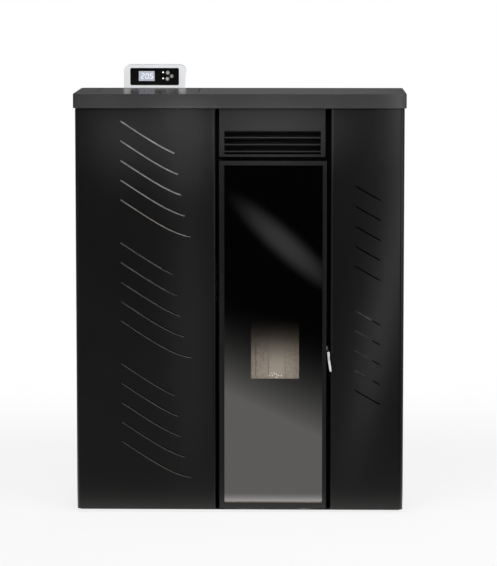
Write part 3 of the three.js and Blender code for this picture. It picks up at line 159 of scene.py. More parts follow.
def new_finish(name, **sockets):
    """A new material: its tree, its surface shader and the piece's own coordinates in metres."""
    finish = bpy.data.materials.new(name)
    finish.use_nodes = True
    tree = finish.node_tree
    shader = tree.nodes["Principled BSDF"]
    for key, value in sockets.items():
        shader.inputs[key.replace("_", " ")].default_value = value
    place = node(tree, "ShaderNodeTexCoord").outputs["Object"]
    return finish, tree, shader, place


def relief(tree, shader, height, depth, strength=1.0):
    """Lets a height pattern of a real depth in metres raise the surface."""
    bump = node(tree, "ShaderNodeBump", {"Height": height, "Distance": depth, "Strength": strength})
    tree.links.new(bump.outputs["Normal"], shader.inputs["Normal"])


def shades(tree, shader, factor, colours, places=(0.3, 0.7)):
    """Spreads a pattern over two or more colours of the surface."""
    ramp = node(tree, "ShaderNodeValToRGB", {"Fac": factor})
    stops = ramp.color_ramp.elements
    while len(stops) < len(colours):
        stops.new(0.5)
    for stop, colour, place in zip(stops, colours, places):
        stop.position = place
        stop.color = colour
    tree.links.new(ramp.outputs["Color"], shader.inputs["Base Color"])
    return ramp


def times(colour, amount):
    """A colour made darker or lighter."""
    return tuple(min(1, c * amount) for c in colour[:3]) + (1.0,)


def piece_from(name, bm, finish, body, smooth=30):
    """Turns a bmesh into a piece that rides on a body and takes the finish it is given."""
    bmesh.ops.recalc_face_normals(bm, faces=bm.faces)
    mesh = bpy.data.meshes.new(name)
    bm.to_mesh(mesh)
    bm.free()
    mesh.materials.append(finish)
    piece = bpy.data.objects.new(name, mesh)
    bpy.context.scene.collection.objects.link(piece)
    for face in mesh.polygons:
        face.use_smooth = smooth > 0
    if smooth:
        mesh.set_sharp_from_angle(angle=math.radians(smooth))
    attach(piece, body)
    return piece


def add_block(bm, low, high, turn=None):
    """Adds a box between two corners, turned about its own middle where a turn is given."""
    low, high = Vector(low), Vector(high)
    middle, size = (low + high) / 2, high - low
    placed = Matrix.Translation(middle) @ (turn or Matrix.Identity(4)) @ Matrix.Diagonal((*size, 1))
    bmesh.ops.create_cube(bm, size=1, matrix=placed)


def add_turned(bm, profile, placed, sides=16, star=0.0):
    """Adds a turned form: profile is radius and height from the bottom; star draws in every other point."""
    rings = []
    for radius, height, *starred in profile:
        ring = []
        for i in range(sides):
            reach = radius * (1 - star * (i % 2)) if starred else radius
            angle = 2 * math.pi * i / sides
            point = Vector((reach * math.cos(angle), reach * math.sin(angle), height))
            ring.append(bm.verts.new(placed @ point))
        rings.append(ring)
    for low, high in zip(rings, rings[1:]):
        for i in range(sides):
            j = (i + 1) % sides
            bm.faces.new((low[i], low[j], high[j], high[i]))
    bm.faces.new(tuple(reversed(rings[0])))
    bm.faces.new(tuple(rings[-1]))


def add_closed_tube(bm, path, radius_at, sides):
    """Adds a tube round a closed path in the X-Z plane; radius_at gives the radius at a step and an angle."""
    count = len(path)
    across = Vector((0, 1, 0))
    rings = []
    for i, point in enumerate(path):
        along = (path[(i + 1) % count] - path[i - 1]).normalized()
        out = along.cross(across).normalized()
        rings.append([
            bm.verts.new(point + (out * math.cos(a) + across * math.sin(a)) * radius_at(i, a))
            for a in (2 * math.pi * k / sides for k in range(sides))])
    for low, high in zip(rings, rings[1:] + rings[:1]):
        for k in range(sides):
            bm.faces.new((low[k], low[(k + 1) % sides], high[(k + 1) % sides], high[k]))


def facing(direction):
    """Turn that points local Z along a direction."""
    return Vector(direction).to_track_quat("Z", "Y").to_matrix().to_4x4()


def add_screw(bm, place, direction, width):
    """Adds a pan-head screw with a six-pointed recess, its head standing out along a direction."""
    placed = Matrix.Translation(Vector(place)) @ facing(direction)
    r = width / 2
    head = [(r, 0), (r, 0.25 * r), (0.86 * r, 0.52 * r), (0.52 * r, 0.66 * r)]
    recess = [(0.46 * r, 0.66 * r, 1), (0.40 * r, 0.2 * r, 1)]
    add_turned(bm, head + recess, placed, 12, 0.22)


def dress(finish, *names):
    """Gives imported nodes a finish."""
    for name in names:
        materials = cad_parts[name].data.materials
        materials.clear()
        materials.append(finish)


# ---------------------------------------------------------------- finishes

FINISHES = {}


def powder_coat(name, colour, roughness, peel, specular=0.5):
    """Epoxy-polyester powder baked on steel: even colour, soft sheen, slightly dimpled like orange peel."""
    finish, tree, shader, place = new_finish(name, Roughness=roughness, IOR=1.5, Specular_IOR_Level=specular)
    cloud = node(tree, "ShaderNodeTexNoise", {"Vector": place, "Scale": 1 / 0.09, "Detail": 3})
    shades(tree, shader, cloud.outputs["Fac"], (times(colour, 0.92), times(colour, 1.08)))
    # Real dimples are about 1.5 mm; they are drawn wider so that they show from a step away.
    dimples = node(tree, "ShaderNodeTexNoise", {"Vector": place, "Scale": 1 / peel, "Detail": 2,
                                                "Roughness": 0.4})
    relief(tree, shader, dimples.outputs["Fac"], 0.05 * MM, 0.35)
    return finish


def heat_paint(name, colour):
    """Silicone stove paint, sprayed: dead matt, a little chalky, faintly cloudy from the heat."""
    finish, tree, shader, place = new_finish(name, Roughness=0.82, IOR=1.5)
    cloud = node(tree, "ShaderNodeTexNoise", {"Vector": place, "Scale": 1 / 0.05, "Detail": 5})
    shades(tree, shader, cloud.outputs["Fac"], (times(colour, 0.8), times(colour, 1.35)))
    # The sprayed grit is about 0.3 mm; it is drawn 1.5 mm wide to show.
    grit = node(tree, "ShaderNodeTexNoise", {"Vector": place, "Scale": 1 / (1.5 * MM), "Detail": 2})
    relief(tree, shader, grit.outputs["Fac"], 0.08 * MM, 0.5)
    return finish


def galvanised_sheet(name, spangle, brightness=1.0):
    """Hot-dip galvanised sheet: grey zinc crystals, each reflecting a little differently; heat dulls them."""
    finish, tree, shader, place = new_finish(name, Metallic=1.0)
    crystals = node(tree, "ShaderNodeTexVoronoi", {"Vector": place, "Scale": 1 / spangle, "Randomness": 1.0})
    tone = node(tree, "ShaderNodeSeparateColor", {"Color": crystals.outputs["Color"]})
    greys = [times(linear(code), brightness) for code in ("#8b9093", "#a3a7a9", "#b9bcbd")]
    shades(tree, shader, tone.outputs["Red"], greys, (0.1, 0.5, 0.9))
    gloss = node(tree, "ShaderNodeMapRange", {"Value": tone.outputs["Green"], "To Min": 0.34, "To Max": 0.52})
    tree.links.new(gloss.outputs["Result"], shader.inputs["Roughness"])
    return finish


def zinc_plated(name):
    """Bright zinc-plated steel, turned or pressed: light grey metal with fine tool marks."""
    finish, tree, shader, place = new_finish(name, Metallic=1.0, Base_Color=linear("#b5b6b4"))
    # Tool marks are about 0.2 mm apart; 0.8 mm is the finest that shows.
    marks = node(tree, "ShaderNodeTexNoise", {"Vector": place, "Scale": 1 / (0.8 * MM), "Detail": 2})
    gloss = node(tree, "ShaderNodeMapRange", {"Value": marks.outputs["Fac"], "To Min": 0.22, "To Max": 0.42})
    tree.links.new(gloss.outputs["Result"], shader.inputs["Roughness"])
    relief(tree, shader, marks.outputs["Fac"], 0.02 * MM, 0.4)
    return finish


def polished_chrome(name):
    """Chromium on polished brass: bright metal, softened unevenly by the smears of a handled lever."""
    finish, tree, shader, place = new_finish(name, Metallic=1.0, Base_Color=linear("#ededeb"))
    smears = node(tree, "ShaderNodeTexNoise", {"Vector": place, "Scale": 1 / 0.012, "Detail": 4,
                                               "Distortion": 0.6})
    gloss = node(tree, "ShaderNodeMapRange", {"Value": smears.outputs["Fac"], "To Min": 0.26, "To Max": 0.40})
    tree.links.new(gloss.outputs["Result"], shader.inputs["Roughness"])
    return finish


def cast_iron(name):
    """Sand-cast iron, oiled and blackened by fire: grainy skin, dull brown-black."""
    finish, tree, shader, place = new_finish(name, Roughness=0.72, IOR=1.5, Metallic=0.0)
    soot = node(tree, "ShaderNodeTexNoise", {"Vector": place, "Scale": 1 / 0.02, "Detail": 6,
                                             "Roughness": 0.65})
    shades(tree, shader, soot.outputs["Fac"], (linear("#201e1d"), linear("#3a3532"), linear("#4c423a")),
           (0.3, 0.6, 0.85))
    # Sand grain is about 0.4 mm; it is drawn three times as coarse to show.
    grain = node(tree, "ShaderNodeTexNoise", {"Vector": place, "Scale": 1 / (1.2 * MM), "Detail": 3})
    relief(tree, shader, grain.outputs["Fac"], 0.25 * MM, 0.7)
    return finish


def cast_aluminium(name):
    """Die-cast aluminium, as cast: pale grey metal with a soft, uneven skin."""
    finish, tree, shader, place = new_finish(name, Metallic=1.0, Roughness=0.5)
    flow = node(tree, "ShaderNodeTexNoise", {"Vector": place, "Scale": 1 / 0.015, "Detail": 4,
                                             "Distortion": 0.8})
    shades(tree, shader, flow.outputs["Fac"], (linear("#85888a"), linear("#a2a5a6")))
    # The skin's ripple is finer than 1.5 mm, which is the least that shows.
    skin = node(tree, "ShaderNodeTexNoise", {"Vector": place, "Scale": 1 / (1.5 * MM), "Detail": 2})
    relief(tree, shader, skin.outputs["Fac"], 0.08 * MM, 0.5)
    return finish


def vermiculite_board(name, colour, rib=None):
    """Pressed vermiculite: soft beige board with flakes. A rib, middle and half width in X, is paler."""
    finish, tree, shader, place = new_finish(name, Roughness=0.95, IOR=1.4, Specular_IOR_Level=0.2)
    flakes = node(tree, "ShaderNodeTexVoronoi", {"Vector": place, "Scale": 1 / (3.0 * MM), "Randomness": 1.0})
    tone = node(tree, "ShaderNodeSeparateColor", {"Color": flakes.outputs["Color"]})
    flaked = shades(tree, shader, tone.outputs["Red"], (times(colour, 0.86), colour, times(colour, 1.16)),
                    (0.1, 0.5, 0.95))
    relief(tree, shader, flakes.outputs["Distance"], 0.4 * MM, 0.6)
    if rib:
        at = node(tree, "ShaderNodeSeparateXYZ", {"Vector": place})
        swept = node(tree, "ShaderNodeMath", {0: at.outputs["X"], 1: rib[0], 2: rib[1]}, operation="COMPARE")
        paler = node(tree, "ShaderNodeMixRGB", {"Fac": swept.outputs[0], "Color1": flaked.outputs["Color"],
                                                "Color2": times(colour, 1.06)})
        tree.links.new(paler.outputs[0], shader.inputs["Base Color"])
    return finish


def printed_glass(name, colour, window):
    """Ceramic glass printed black behind: deep gloss black, clear in a small window with painted shade fading its
    top.
    """
    # Such glass has an IOR of about 1.54; it is raised until the reflections match the real pane.
    finish, tree, shader, place = new_finish(name, Roughness=0.02, IOR=1.87, Base_Color=colour,
                                             Coat_Weight=0.35, Coat_Roughness=0.02)
    at = node(tree, "ShaderNodeSeparateXYZ", {"Vector": place})
    edge = 1.2 * MM
    sides = [
        node(tree, "ShaderNodeMapRange", {"Value": at.outputs["X"], "From Min": window.left,
                                          "From Max": window.left + edge}, interpolation_type="SMOOTHSTEP"),
        node(tree, "ShaderNodeMapRange", {"Value": at.outputs["X"], "From Min": window.right,
                                          "From Max": window.right - edge}, interpolation_type="SMOOTHSTEP"),
        node(tree, "ShaderNodeMapRange", {"Value": at.outputs["Z"], "From Min": window.bottom,
                                          "From Max": window.bottom + edge}, interpolation_type="SMOOTHSTEP"),
        # The fade at the window's top is painted shade over the upper fire chamber.
        node(tree, "ShaderNodeMapRange", {"Value": at.outputs["Z"], "From Min": window.painted_shade_full,
                                          "From Max": window.painted_shade_start}, interpolation_type="SMOOTHERSTEP"),
    ]
    clear = sides[0].outputs["Result"]
    for side in sides[1:]:
        both = node(tree, "ShaderNodeMath", {0: clear, 1: side.outputs["Result"]}, operation="MULTIPLY")
        clear = both.outputs[0]
    cover = node(tree, "ShaderNodeMath", {0: 1.0, 1: clear}, operation="SUBTRACT")
    tree.links.new(cover.outputs[0], shader.inputs["Alpha"])
    return finish


def braided_rope(name):
    """Braided glass-fibre rope, grey from the loom: matt, fuzzy, crossed strands."""
    finish, tree, shader, place = new_finish(name, Roughness=0.95, Sheen_Weight=0.3)
    strand = node(tree, "ShaderNodeTexVoronoi", {"Vector": place, "Scale": 1 / (2.2 * MM)})
    shades(tree, shader, strand.outputs["Distance"], (linear("#5d5a55"), linear("#35332f")), (0.1, 0.7))
    relief(tree, shader, strand.outputs["Distance"], 0.4 * MM, 0.6)
    return finish


def glass_tape(name):
    """Woven glass-fibre tape round the pane's edge: off-white gone beige in the heat."""
    finish, tree, shader, place = new_finish(name, Roughness=0.9)
    # Its threads are under 1 mm apart; they are drawn 2.5 mm apart to show.
    weave = node(tree, "ShaderNodeTexNoise", {"Vector": place, "Scale": 1 / (2.5 * MM), "Detail": 2})
    shades(tree, shader, weave.outputs["Fac"], (linear("#84796b"), linear("#a09484")))
    relief(tree, shader, weave.outputs["Fac"], 0.1 * MM, 0.5)
    return finish


def extruded_rubber(name):
    """Extruded EPDM: dull black with a faintly uneven skin and a grey bloom."""
    finish, tree, shader, place = new_finish(name, Roughness=0.75, IOR=1.52)
    bloom = node(tree, "ShaderNodeTexNoise", {"Vector": place, "Scale": 1 / 0.02, "Detail": 4})
    shades(tree, shader, bloom.outputs["Fac"], (linear("#151515"), linear("#242424")))
    skin = node(tree, "ShaderNodeTexNoise", {"Vector": place, "Scale": 1 / (2 * MM), "Detail": 1})
    relief(tree, shader, skin.outputs["Fac"], 0.05 * MM, 0.4)
    return finish


def plain_moulding(name, colour, roughness):
    """Moulded ABS, fired steatite or gloss film: plain colour and sheen, with the fine grain of its mould."""
    finish, tree, shader, place = new_finish(name, Roughness=roughness, IOR=1.53)
    flow = node(tree, "ShaderNodeTexNoise", {"Vector": place, "Scale": 1 / 0.04, "Detail": 2})
    shades(tree, shader, flow.outputs["Fac"], (times(colour, 0.97), times(colour, 1.03)))
    # The mould's grain is about 0.3 mm; it is drawn three times as coarse to show.
    grain = node(tree, "ShaderNodeTexNoise", {"Vector": place, "Scale": 1 / (0.9 * MM), "Detail": 1})
    relief(tree, shader, grain.outputs["Fac"], 0.03 * MM, 0.35)
    return finish


def metallised_plastic(name):
    """Vacuum-metallised button caps: warm silver, brushed to a soft shine."""
    finish, tree, shader, place = new_finish(name, Metallic=0.7, Roughness=0.32)
    rubbed = node(tree, "ShaderNodeTexNoise", {"Vector": place, "Scale": 1 / (1.5 * MM), "Detail": 3})
    shades(tree, shader, rubbed.outputs["Fac"], (linear("#a49c93"), linear("#c9c3bb")))
    return finish


def display_lens(name):
    """Clear lens over a lit liquid-crystal display: pale lavender with a faint cell grid."""
    finish, tree, shader, place = new_finish(name, Roughness=0.12, IOR=1.49, Emission_Strength=0.12)
    shader.inputs["Emission Color"].default_value = linear("#c8cbe6")
    # The cells are about 0.4 mm; they are drawn 1.4 mm wide to show.
    cells = node(tree, "ShaderNodeTexChecker", {"Vector": place, "Scale": 1 / (1.4 * MM)})
    shades(tree, shader, cells.outputs["Fac"], (linear("#b0b3c0"), linear("#babdc9")), (0.0, 1.0))
    return finish


def glowing(name, code, strength):
    """Light-emitting lens: evenly bright."""
    finish, tree, shader, place = new_finish(name, Roughness=0.3, Emission_Strength=strength)
    shader.inputs["Emission Color"].default_value = linear(code)
    haze = node(tree, "ShaderNodeTexNoise", {"Vector": place, "Scale": 1 / (1 * MM)})
    shades(tree, shader, haze.outputs["Fac"], (times(linear(code), 0.9), linear(code)))
    return finish


def painted_highlight_lip(name, code):
    """Rolled lip of a slot, coloured as a painted highlight of the light running along it."""
    finish, tree, shader, place = new_finish(name, Roughness=0.5)
    highlight_patchiness = node(tree, "ShaderNodeTexNoise", {"Vector": place, "Scale": 1 / 0.006, "Detail": 3})
    shades(tree, shader, highlight_patchiness.outputs["Fac"], (times(linear(code), 0.85), times(linear(code), 1.1)))
    return finish


# ---------------------------------------------------------------- stage

# Camera: lens in mm, shifts in parts of the frame's width, and its dip and turn in radians.
LENS = 170.59
LENS_SHIFT = (-0.00105, -0.13)
CAMERA_PLACE = (0.1450, -6.7787, 1.4207)
CAMERA_DIP = 0.0989
CAMERA_TURN = 0.01835

# The part of a glow's oval that is kept, from low to high. The cut ones end below the console, so that it doesn't
# mirror them.
WHOLE = (-0.5, 0.5)
LOWER_HALF = (-0.5, 0.0)
OUTLET_BAND = (-0.325, 0.055)
# Name, place, lean in degrees, width, height, strength and kept part of each glow.
GLOWS = (
    ("glass_flare", (0.095, -3.73, 0.275), 42, 0.68, 0.15, 0.30, WHOLE),
    ("left_panel_sheen", (-0.157, -0.45, 0.998), 0, 0.20, 0.62, 24.0, LOWER_HALF),
    ("left_panel_haze", (-0.300, -0.45, 0.985), 0, 0.34, 0.50, 4.0, LOWER_HALF),
    ("left_panel_tail", (-0.136, -0.45, 0.45), 0, 0.15, 1.3, 1.8, WHOLE),
    ("bay_sheen", (0.080, -0.45, 0.97), 0, 0.60, 0.36, 6.5, OUTLET_BAND),
    ("right_panel_sheen", (0.3815, -0.45, 0.52), 12, 0.10, 1.4, 7.0, WHOLE),
    ("right_edge_sheen", (0.4365, -0.45, 0.95), 0, 0.14, 1.0, 14.0, WHOLE),
    ("right_corner_sheen", (0.66, -0.45, 0.90), 0, 0.40, 1.1, 3.5, WHOLE),
    ("top_sheen", (0.0, 3.0, 1.32), 0, 3.6, 1.0, 0.34, WHOLE),
)


class STOVE_OT_set_stage(bpy.types.Operator):
    """Place the camera, the floor, the lamps and the backdrop"""
    bl_idname = "stove.set_stage"
    bl_label = "Set the stage"

    def execute(self, context):
        studio = context.scene.stove_studio
        self.add_camera(context)
        self.add_floor(context)
        for glow in GLOWS:
            self.add_glow(context, *glow)
        self.light_world(context, studio)
        # Name, place, what it points at, width, height, power.
        lamps = [
            ("overhead_lamp", (-0.1, -1.15, 2.0), (-0.05, 0.0, 0.75), 1.8, 0.9, studio.key_power),
            ("right_strip", (2.0, -1.3, 1.0), (0.3, 0.0, 0.6), 0.5, 1.8, studio.right_power),
            ("left_strip", (-2.0, -1.5, 0.8), (-0.3, 0.0, 0.5), 0.5, 1.6, studio.left_power),
            ("rear_lamp", (-0.05, 2.3, 0.55), (0.0, 0.1, 0.55), 0.7, 0.85, studio.rear_power),
            ("fire_chamber_lamp", (0.088, -0.105, 0.345), (0.088, 0.06, 0.325), 0.09, 0.03,
             studio.chamber_power),
        ]
        for name, place, aim, width, height, power in lamps:
            lamp = bpy.data.lights.new(name, "AREA")
            lamp.shape, lamp.size, lamp.size_y, lamp.energy = "RECTANGLE", width, height, power
            holder = bpy.data.objects.new(name, lamp)
            holder.location = place
            holder.rotation_euler = (Vector(aim) - Vector(place)).to_track_quat("-Z", "Y").to_euler()
            context.scene.collection.objects.link(holder)
        return {"FINISHED"}

    @staticmethod
    def add_camera(context):
        lens = bpy.data.cameras.new("photo_camera")
        lens.lens = LENS
        lens.shift_x, lens.shift_y = LENS_SHIFT
        lens.clip_end = 100
        camera = bpy.data.objects.new("photo_camera", lens)
        camera.location = CAMERA_PLACE
        camera.rotation_euler = (math.pi / 2 - CAMERA_DIP, 0, CAMERA_TURN)
        context.scene.collection.objects.link(camera)
        context.scene.camera = camera

    @staticmethod
    def add_floor(context):
        """White floor that keeps the stove's shadow; to mirrors it fades into a dark room in front."""
        half = 14
        mesh = bpy.data.meshes.new("studio_floor")
        corners = [(-half, -half, 0), (half, -half, 0), (half, half, 0), (-half, half, 0)]
        mesh.from_pydata(corners, [], [(0, 1, 2, 3)])
        floor = bpy.data.objects.new("studio_floor", mesh)
        floor.location.z = -0.0005
        context.scene.collection.objects.link(floor)
        paper = bpy.data.materials.new("white_paper_floor")
        paper.use_nodes = True
        tree = paper.node_tree
        tree.nodes.clear()
        place = node(tree, "ShaderNodeTexCoord").outputs["Object"]
        seen = node(tree, "ShaderNodeLightPath")
        # The eye sees a little of the lit paper round the stove and plain white further out.
        reach = node(tree, "ShaderNodeVectorMath", {0: place}, operation="LENGTH").outputs["Value"]
        white = node(tree, "ShaderNodeMapRange", {"Value": reach, "From Min": 0.7, "From Max": 2.2,
                                                  "To Min": 0.82, "To Max": 1.0},
                     interpolation_type="SMOOTHSTEP")
        plain = node(tree, "ShaderNodeBsdfDiffuse", {"Color": linear("#f2f2f2")})
        glow = node(tree, "ShaderNodeEmission", {"Color": linear("#ffffff"), "Strength": 1.0})
        backdrop = node(tree, "ShaderNodeMixShader", {0: white.outputs["Result"], 1: plain.outputs[0],
                                                      2: glow.outputs[0]})
        # Mirrors see the paper near the stove as white and the dark room beyond it.
        into_room = (2.6, -1.0, 0)
        towards = node(tree, "ShaderNodeVectorMath", {0: place, 1: into_room}, operation="DOT_PRODUCT")
        fading = node(tree, "ShaderNodeMapRange", {"Value": towards.outputs["Value"], "From Min": 1.73,
                                                   "From Max": 4.50, "To Min": 1.0, "To Max": 0.0},
                      interpolation_type="LINEAR")
        falling = node(tree, "ShaderNodeMath", {0: fading.outputs["Result"], 1: 4.2}, operation="POWER")
        # The strip right before the stove is brighter, and what lies behind it is nearly dark.
        axes = node(tree, "ShaderNodeSeparateXYZ", {0: place})
        before = node(tree, "ShaderNodeMapRange", {"Value": axes.outputs["Y"], "From Min": -0.40,
                                                   "From Max": -0.16, "To Min": 0.0, "To Max": 4.5},
                      interpolation_type="SMOOTHSTEP")
        behind = node(tree, "ShaderNodeMapRange", {"Value": axes.outputs["Y"], "From Min": -0.15,
                                                   "From Max": 0.10, "To Min": 1.0, "To Max": 0.08},
                      interpolation_type="SMOOTHSTEP")
        in_front = node(tree, "ShaderNodeMath", {0: falling.outputs[0], 1: before.outputs["Result"]},
                        operation="ADD")
        all_round = node(tree, "ShaderNodeMath", {0: in_front.outputs[0], 1: behind.outputs["Result"]},
                         operation="MULTIPLY")
        mirrored = node(tree, "ShaderNodeEmission", {"Color": linear("#fffdfa"),
                                                     "Strength": all_round.outputs[0]})
        direct = node(tree, "ShaderNodeMath", {0: seen.outputs["Is Camera Ray"],
                                               1: seen.outputs["Is Transmission Ray"]}, operation="MAXIMUM")
        shown = node(tree, "ShaderNodeMixShader", {0: direct.outputs[0], 1: plain.outputs[0],
                                                   2: backdrop.outputs[0]})
        surface = node(tree, "ShaderNodeMixShader", {0: seen.outputs["Is Glossy Ray"], 1: shown.outputs[0],
                                                     2: mirrored.outputs[0]})
        node(tree, "ShaderNodeOutputMaterial", {"Surface": surface.outputs[0]})
        mesh.materials.append(paper)

    @staticmethod
    def add_glow(context, name, place, lean, width, height, level, kept):
        """A soft oval glow that only mirrors see, as a sheen in the glass or on the coat."""
        low, high = kept
        mesh = bpy.data.meshes.new(name)
        mesh.from_pydata([(-0.5, 0, low), (0.5, 0, low), (0.5, 0, high), (-0.5, 0, high)], [], [(0, 1, 2, 3)])
        card = bpy.data.objects.new(name, mesh)
        card.location = place
        card.rotation_euler = (0, math.radians(lean), 0)
        card.scale = (width, 1, height)
        for ray in ("camera", "diffuse", "shadow", "transmission"):
            setattr(card, f"visible_{ray}", False)
        context.scene.collection.objects.link(card)
        glow = bpy.data.materials.new(name)
        glow.use_nodes = True
        tree = glow.node_tree
        tree.nodes.clear()
        here = node(tree, "ShaderNodeTexCoord").outputs["Object"]
        reach = node(tree, "ShaderNodeVectorMath", {0: here}, operation="LENGTH").outputs["Value"]
        fading = node(tree, "ShaderNodeMapRange", {"Value": reach, "From Min": 0.0, "From Max": 0.5,
                                                   "To Min": level, "To Max": 0.0},
                      interpolation_type="SMOOTHERSTEP")
        light = node(tree, "ShaderNodeEmission", {"Strength": fading.outputs["Result"]})
        through = node(tree, "ShaderNodeBsdfTransparent")
        both = node(tree, "ShaderNodeAddShader", {0: light.outputs[0], 1: through.outputs[0]})
        node(tree, "ShaderNodeOutputMaterial", {"Surface": both.outputs[0]})
        mesh.materials.append(glow)

    @staticmethod
    def light_world(context, studio):
        """White to the eye, an even soft light on the stove, and a dim room in its mirrors."""
        world = bpy.data.worlds.new("studio")
        context.scene.world = world
        world.use_nodes = True
        tree = world.node_tree
        tree.nodes.clear()
        seen = node(tree, "ShaderNodeLightPath")
        direct = node(tree, "ShaderNodeMath", {0: seen.outputs["Is Camera Ray"],
                                               1: seen.outputs["Is Transmission Ray"]}, operation="MAXIMUM")
        soft, dim, white = ((level,) * 3 + (1,) for level in (studio.ambient, 0.03, 1))
        even = node(tree, "ShaderNodeMixRGB", {"Fac": seen.outputs["Is Glossy Ray"], "Color1": soft,
                                               "Color2": dim})
        colour = node(tree, "ShaderNodeMixRGB", {"Fac": direct.outputs[0], "Color1": even.outputs[0],
                                                 "Color2": white})
        room = node(tree, "ShaderNodeBackground", {"Color": colour.outputs[0], "Strength": 1.0})
        node(tree, "ShaderNodeOutputWorld", {"Surface": room.outputs[0]})
        context.scene.view_settings.view_transform = "Standard"


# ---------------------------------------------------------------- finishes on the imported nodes

class STOVE_OT_mix_finishes(bpy.types.Operator):
    """Mix every finish once, for the pieces to share"""
    bl_idname = "stove.mix_finishes"
    bl_label = "Mix the finishes"

    def execute(self, context):
        look = context.scene.stove_finish
        FINISHES.update({
            "body coat": powder_coat("powder_coated_steel_black", look.body_colour, 0.29, look.peel_size,
                                     0.1),
            "frame coat": powder_coat("powder_coated_steel_dark_grey", times(look.body_colour, 1.7), 0.29,
                                      look.peel_size, 0.1),
            "top coat": powder_coat("powder_coated_steel_grey", look.top_colour, 0.27, look.peel_size, 0.1),
            "paint": heat_paint("silicone_stove_paint", look.paint_colour),
            # Darker than the body coat: a black coat with painted shade, so that the gaps beside the door bay
            # stay black.
            "shade black": powder_coat("black_powder_coat_painted_shade", linear("#040404"), 0.8, look.peel_size, 0.05),
            "zinc sheet": galvanised_sheet("galvanised_steel_sheet", look.spangle_size),
            "dulled zinc sheet": galvanised_sheet("heat_dulled_galvanised_steel", look.spangle_size, 0.42),
            "zinc": zinc_plated("zinc_plated_steel"),
            "chrome": polished_chrome("polished_chrome"),
            "iron": cast_iron("sand_cast_iron"),
            "aluminium": cast_aluminium("die_cast_aluminium"),
            "board": vermiculite_board("pressed_vermiculite", look.board_colour),
            "rear board": vermiculite_board("pressed_vermiculite_rear", look.board_colour, (0.091, 0.0205)),
            "steatite": plain_moulding("fired_steatite", linear("#f4f3ef"), 0.6),
            "glass": printed_glass("printed_ceramic_glass", look.print_colour, context.scene.stove_glass),
            "rope": braided_rope("braided_glass_fibre"),
            "tape": glass_tape("woven_glass_tape"),
            "rubber": extruded_rubber("extruded_epdm_rubber"),
            "black plastic": plain_moulding("moulded_abs_black", linear("#151515"), 0.38),
            "fascia film": plain_moulding("gloss_film_black", linear("#0c0c0c"), 0.14),
            "pale plastic": plain_moulding("moulded_abs_pale", look.console_colour, 0.34),
            "button": metallised_plastic("metallised_abs"),
            "display": display_lens("display_lens"),
            # The lit segments' glow also goes on the button marks, where it is painted light: the marks hold no
            # lamp.
            "digit": glowing("lit_segments", "#f6f7ff", 0.35),
            "lamp": glowing("led_lens", "#fbfbff", 0.8),
            # The slot lips are painted light: a painted highlight, brighter on the top group of slots.
            "bright highlight lip": painted_highlight_lip("painted_highlight_bright", "#b3aea8"),
            "dim highlight lip": painted_highlight_lip("painted_highlight_dim", "#736f6b"),
        })
        return {"FINISHED"}


def wave_fall(distance):
    """Fall of a slot of the left panel at a distance from its start: straight down, then levelling out."""
    steepness, levelling = 0.655, 0.023
    return steepness * distance - levelling * (distance / SLOT_LENGTHS[-1]) ** 4


class STOVE_OT_dress_casing(bpy.types.Operator):
    """Finish the casing, the top, the lid and the air outlet"""
    bl_idname = "stove.dress_casing"
    bl_label = "Casing"

    def execute(self, context):
        dress(FINISHES["body coat"], "base_plate", "left_casing_panel", "right_casing_panel", "back_panel",
              "console_bracket")
        dress(FINISHES["frame coat"], "air_outlet_panel", "air_outlet_grille", "door_frame")
        dress(FINISHES["top coat"], "top_plate", "hopper_lid")
        # The bay posts are near black as painted shade in the gaps beside the door.
        dress(FINISHES["shade black"], "bay_post_left", "bay_post_right")
        dress(FINISHES["dulled zinc sheet"], "heat_shield")
        dress(FINISHES["zinc"], "levelling_foot_1", "levelling_foot_2", "levelling_foot_3", "levelling_foot_4",
              "lid_hinge_leaf")
        self.roll_slot_lips()
        return {"FINISHED"}

    @staticmethod
    def roll_slot_lips():
        """Each left slot's lower edge is rolled inwards and shows as a thin painted highlight, brightest at the
        top.
        """
        near, far = FRONT + 0.3 * MM, FRONT + 1.8 * MM
        clear = 1 * MM                                   # left free at each end of a slot
        parts = (0, 0.35, 0.55, 0.7, 0.82, 0.92, 1)      # closer together where the slot bends
        # Painted-highlight finish, then the height of a lip's lower and upper edge in mm from the slot's line.
        grey = ("dim highlight lip", -1.5, -0.7)
        for group, (finish, low, high) in enumerate((("bright highlight lip", -1.3, -0.5), grey, grey)):
            section = ((near, low), (far, low), (far, high), (near, high))
            bm = bmesh.new()
            for row, length in enumerate(SLOT_LENGTHS):
                top = SLOT_TOP - group * SLOT_GROUP_PITCH - row * SLOT_PITCH
                rings = []
                for part in parts:
                    x = SLOT_LEFT + clear + part * (length - 2 * clear)
                    z = top - wave_fall(part * length)
                    rings.append([bm.verts.new((x, y, z + rise * MM)) for y, rise in section])
                for left, right in zip(rings, rings[1:]):
                    for k in range(4):
                        bm.faces.new((left[k], left[(k + 1) % 4], right[(k + 1) % 4], right[k]))
                bm.faces.new(rings[0])
                bm.faces.new(list(reversed(rings[-1])))
            piece_from(f"slot_lips_{group + 1}", bm, FINISHES[finish], "cabinet", 0)


# ---------------------------------------------------------------- door

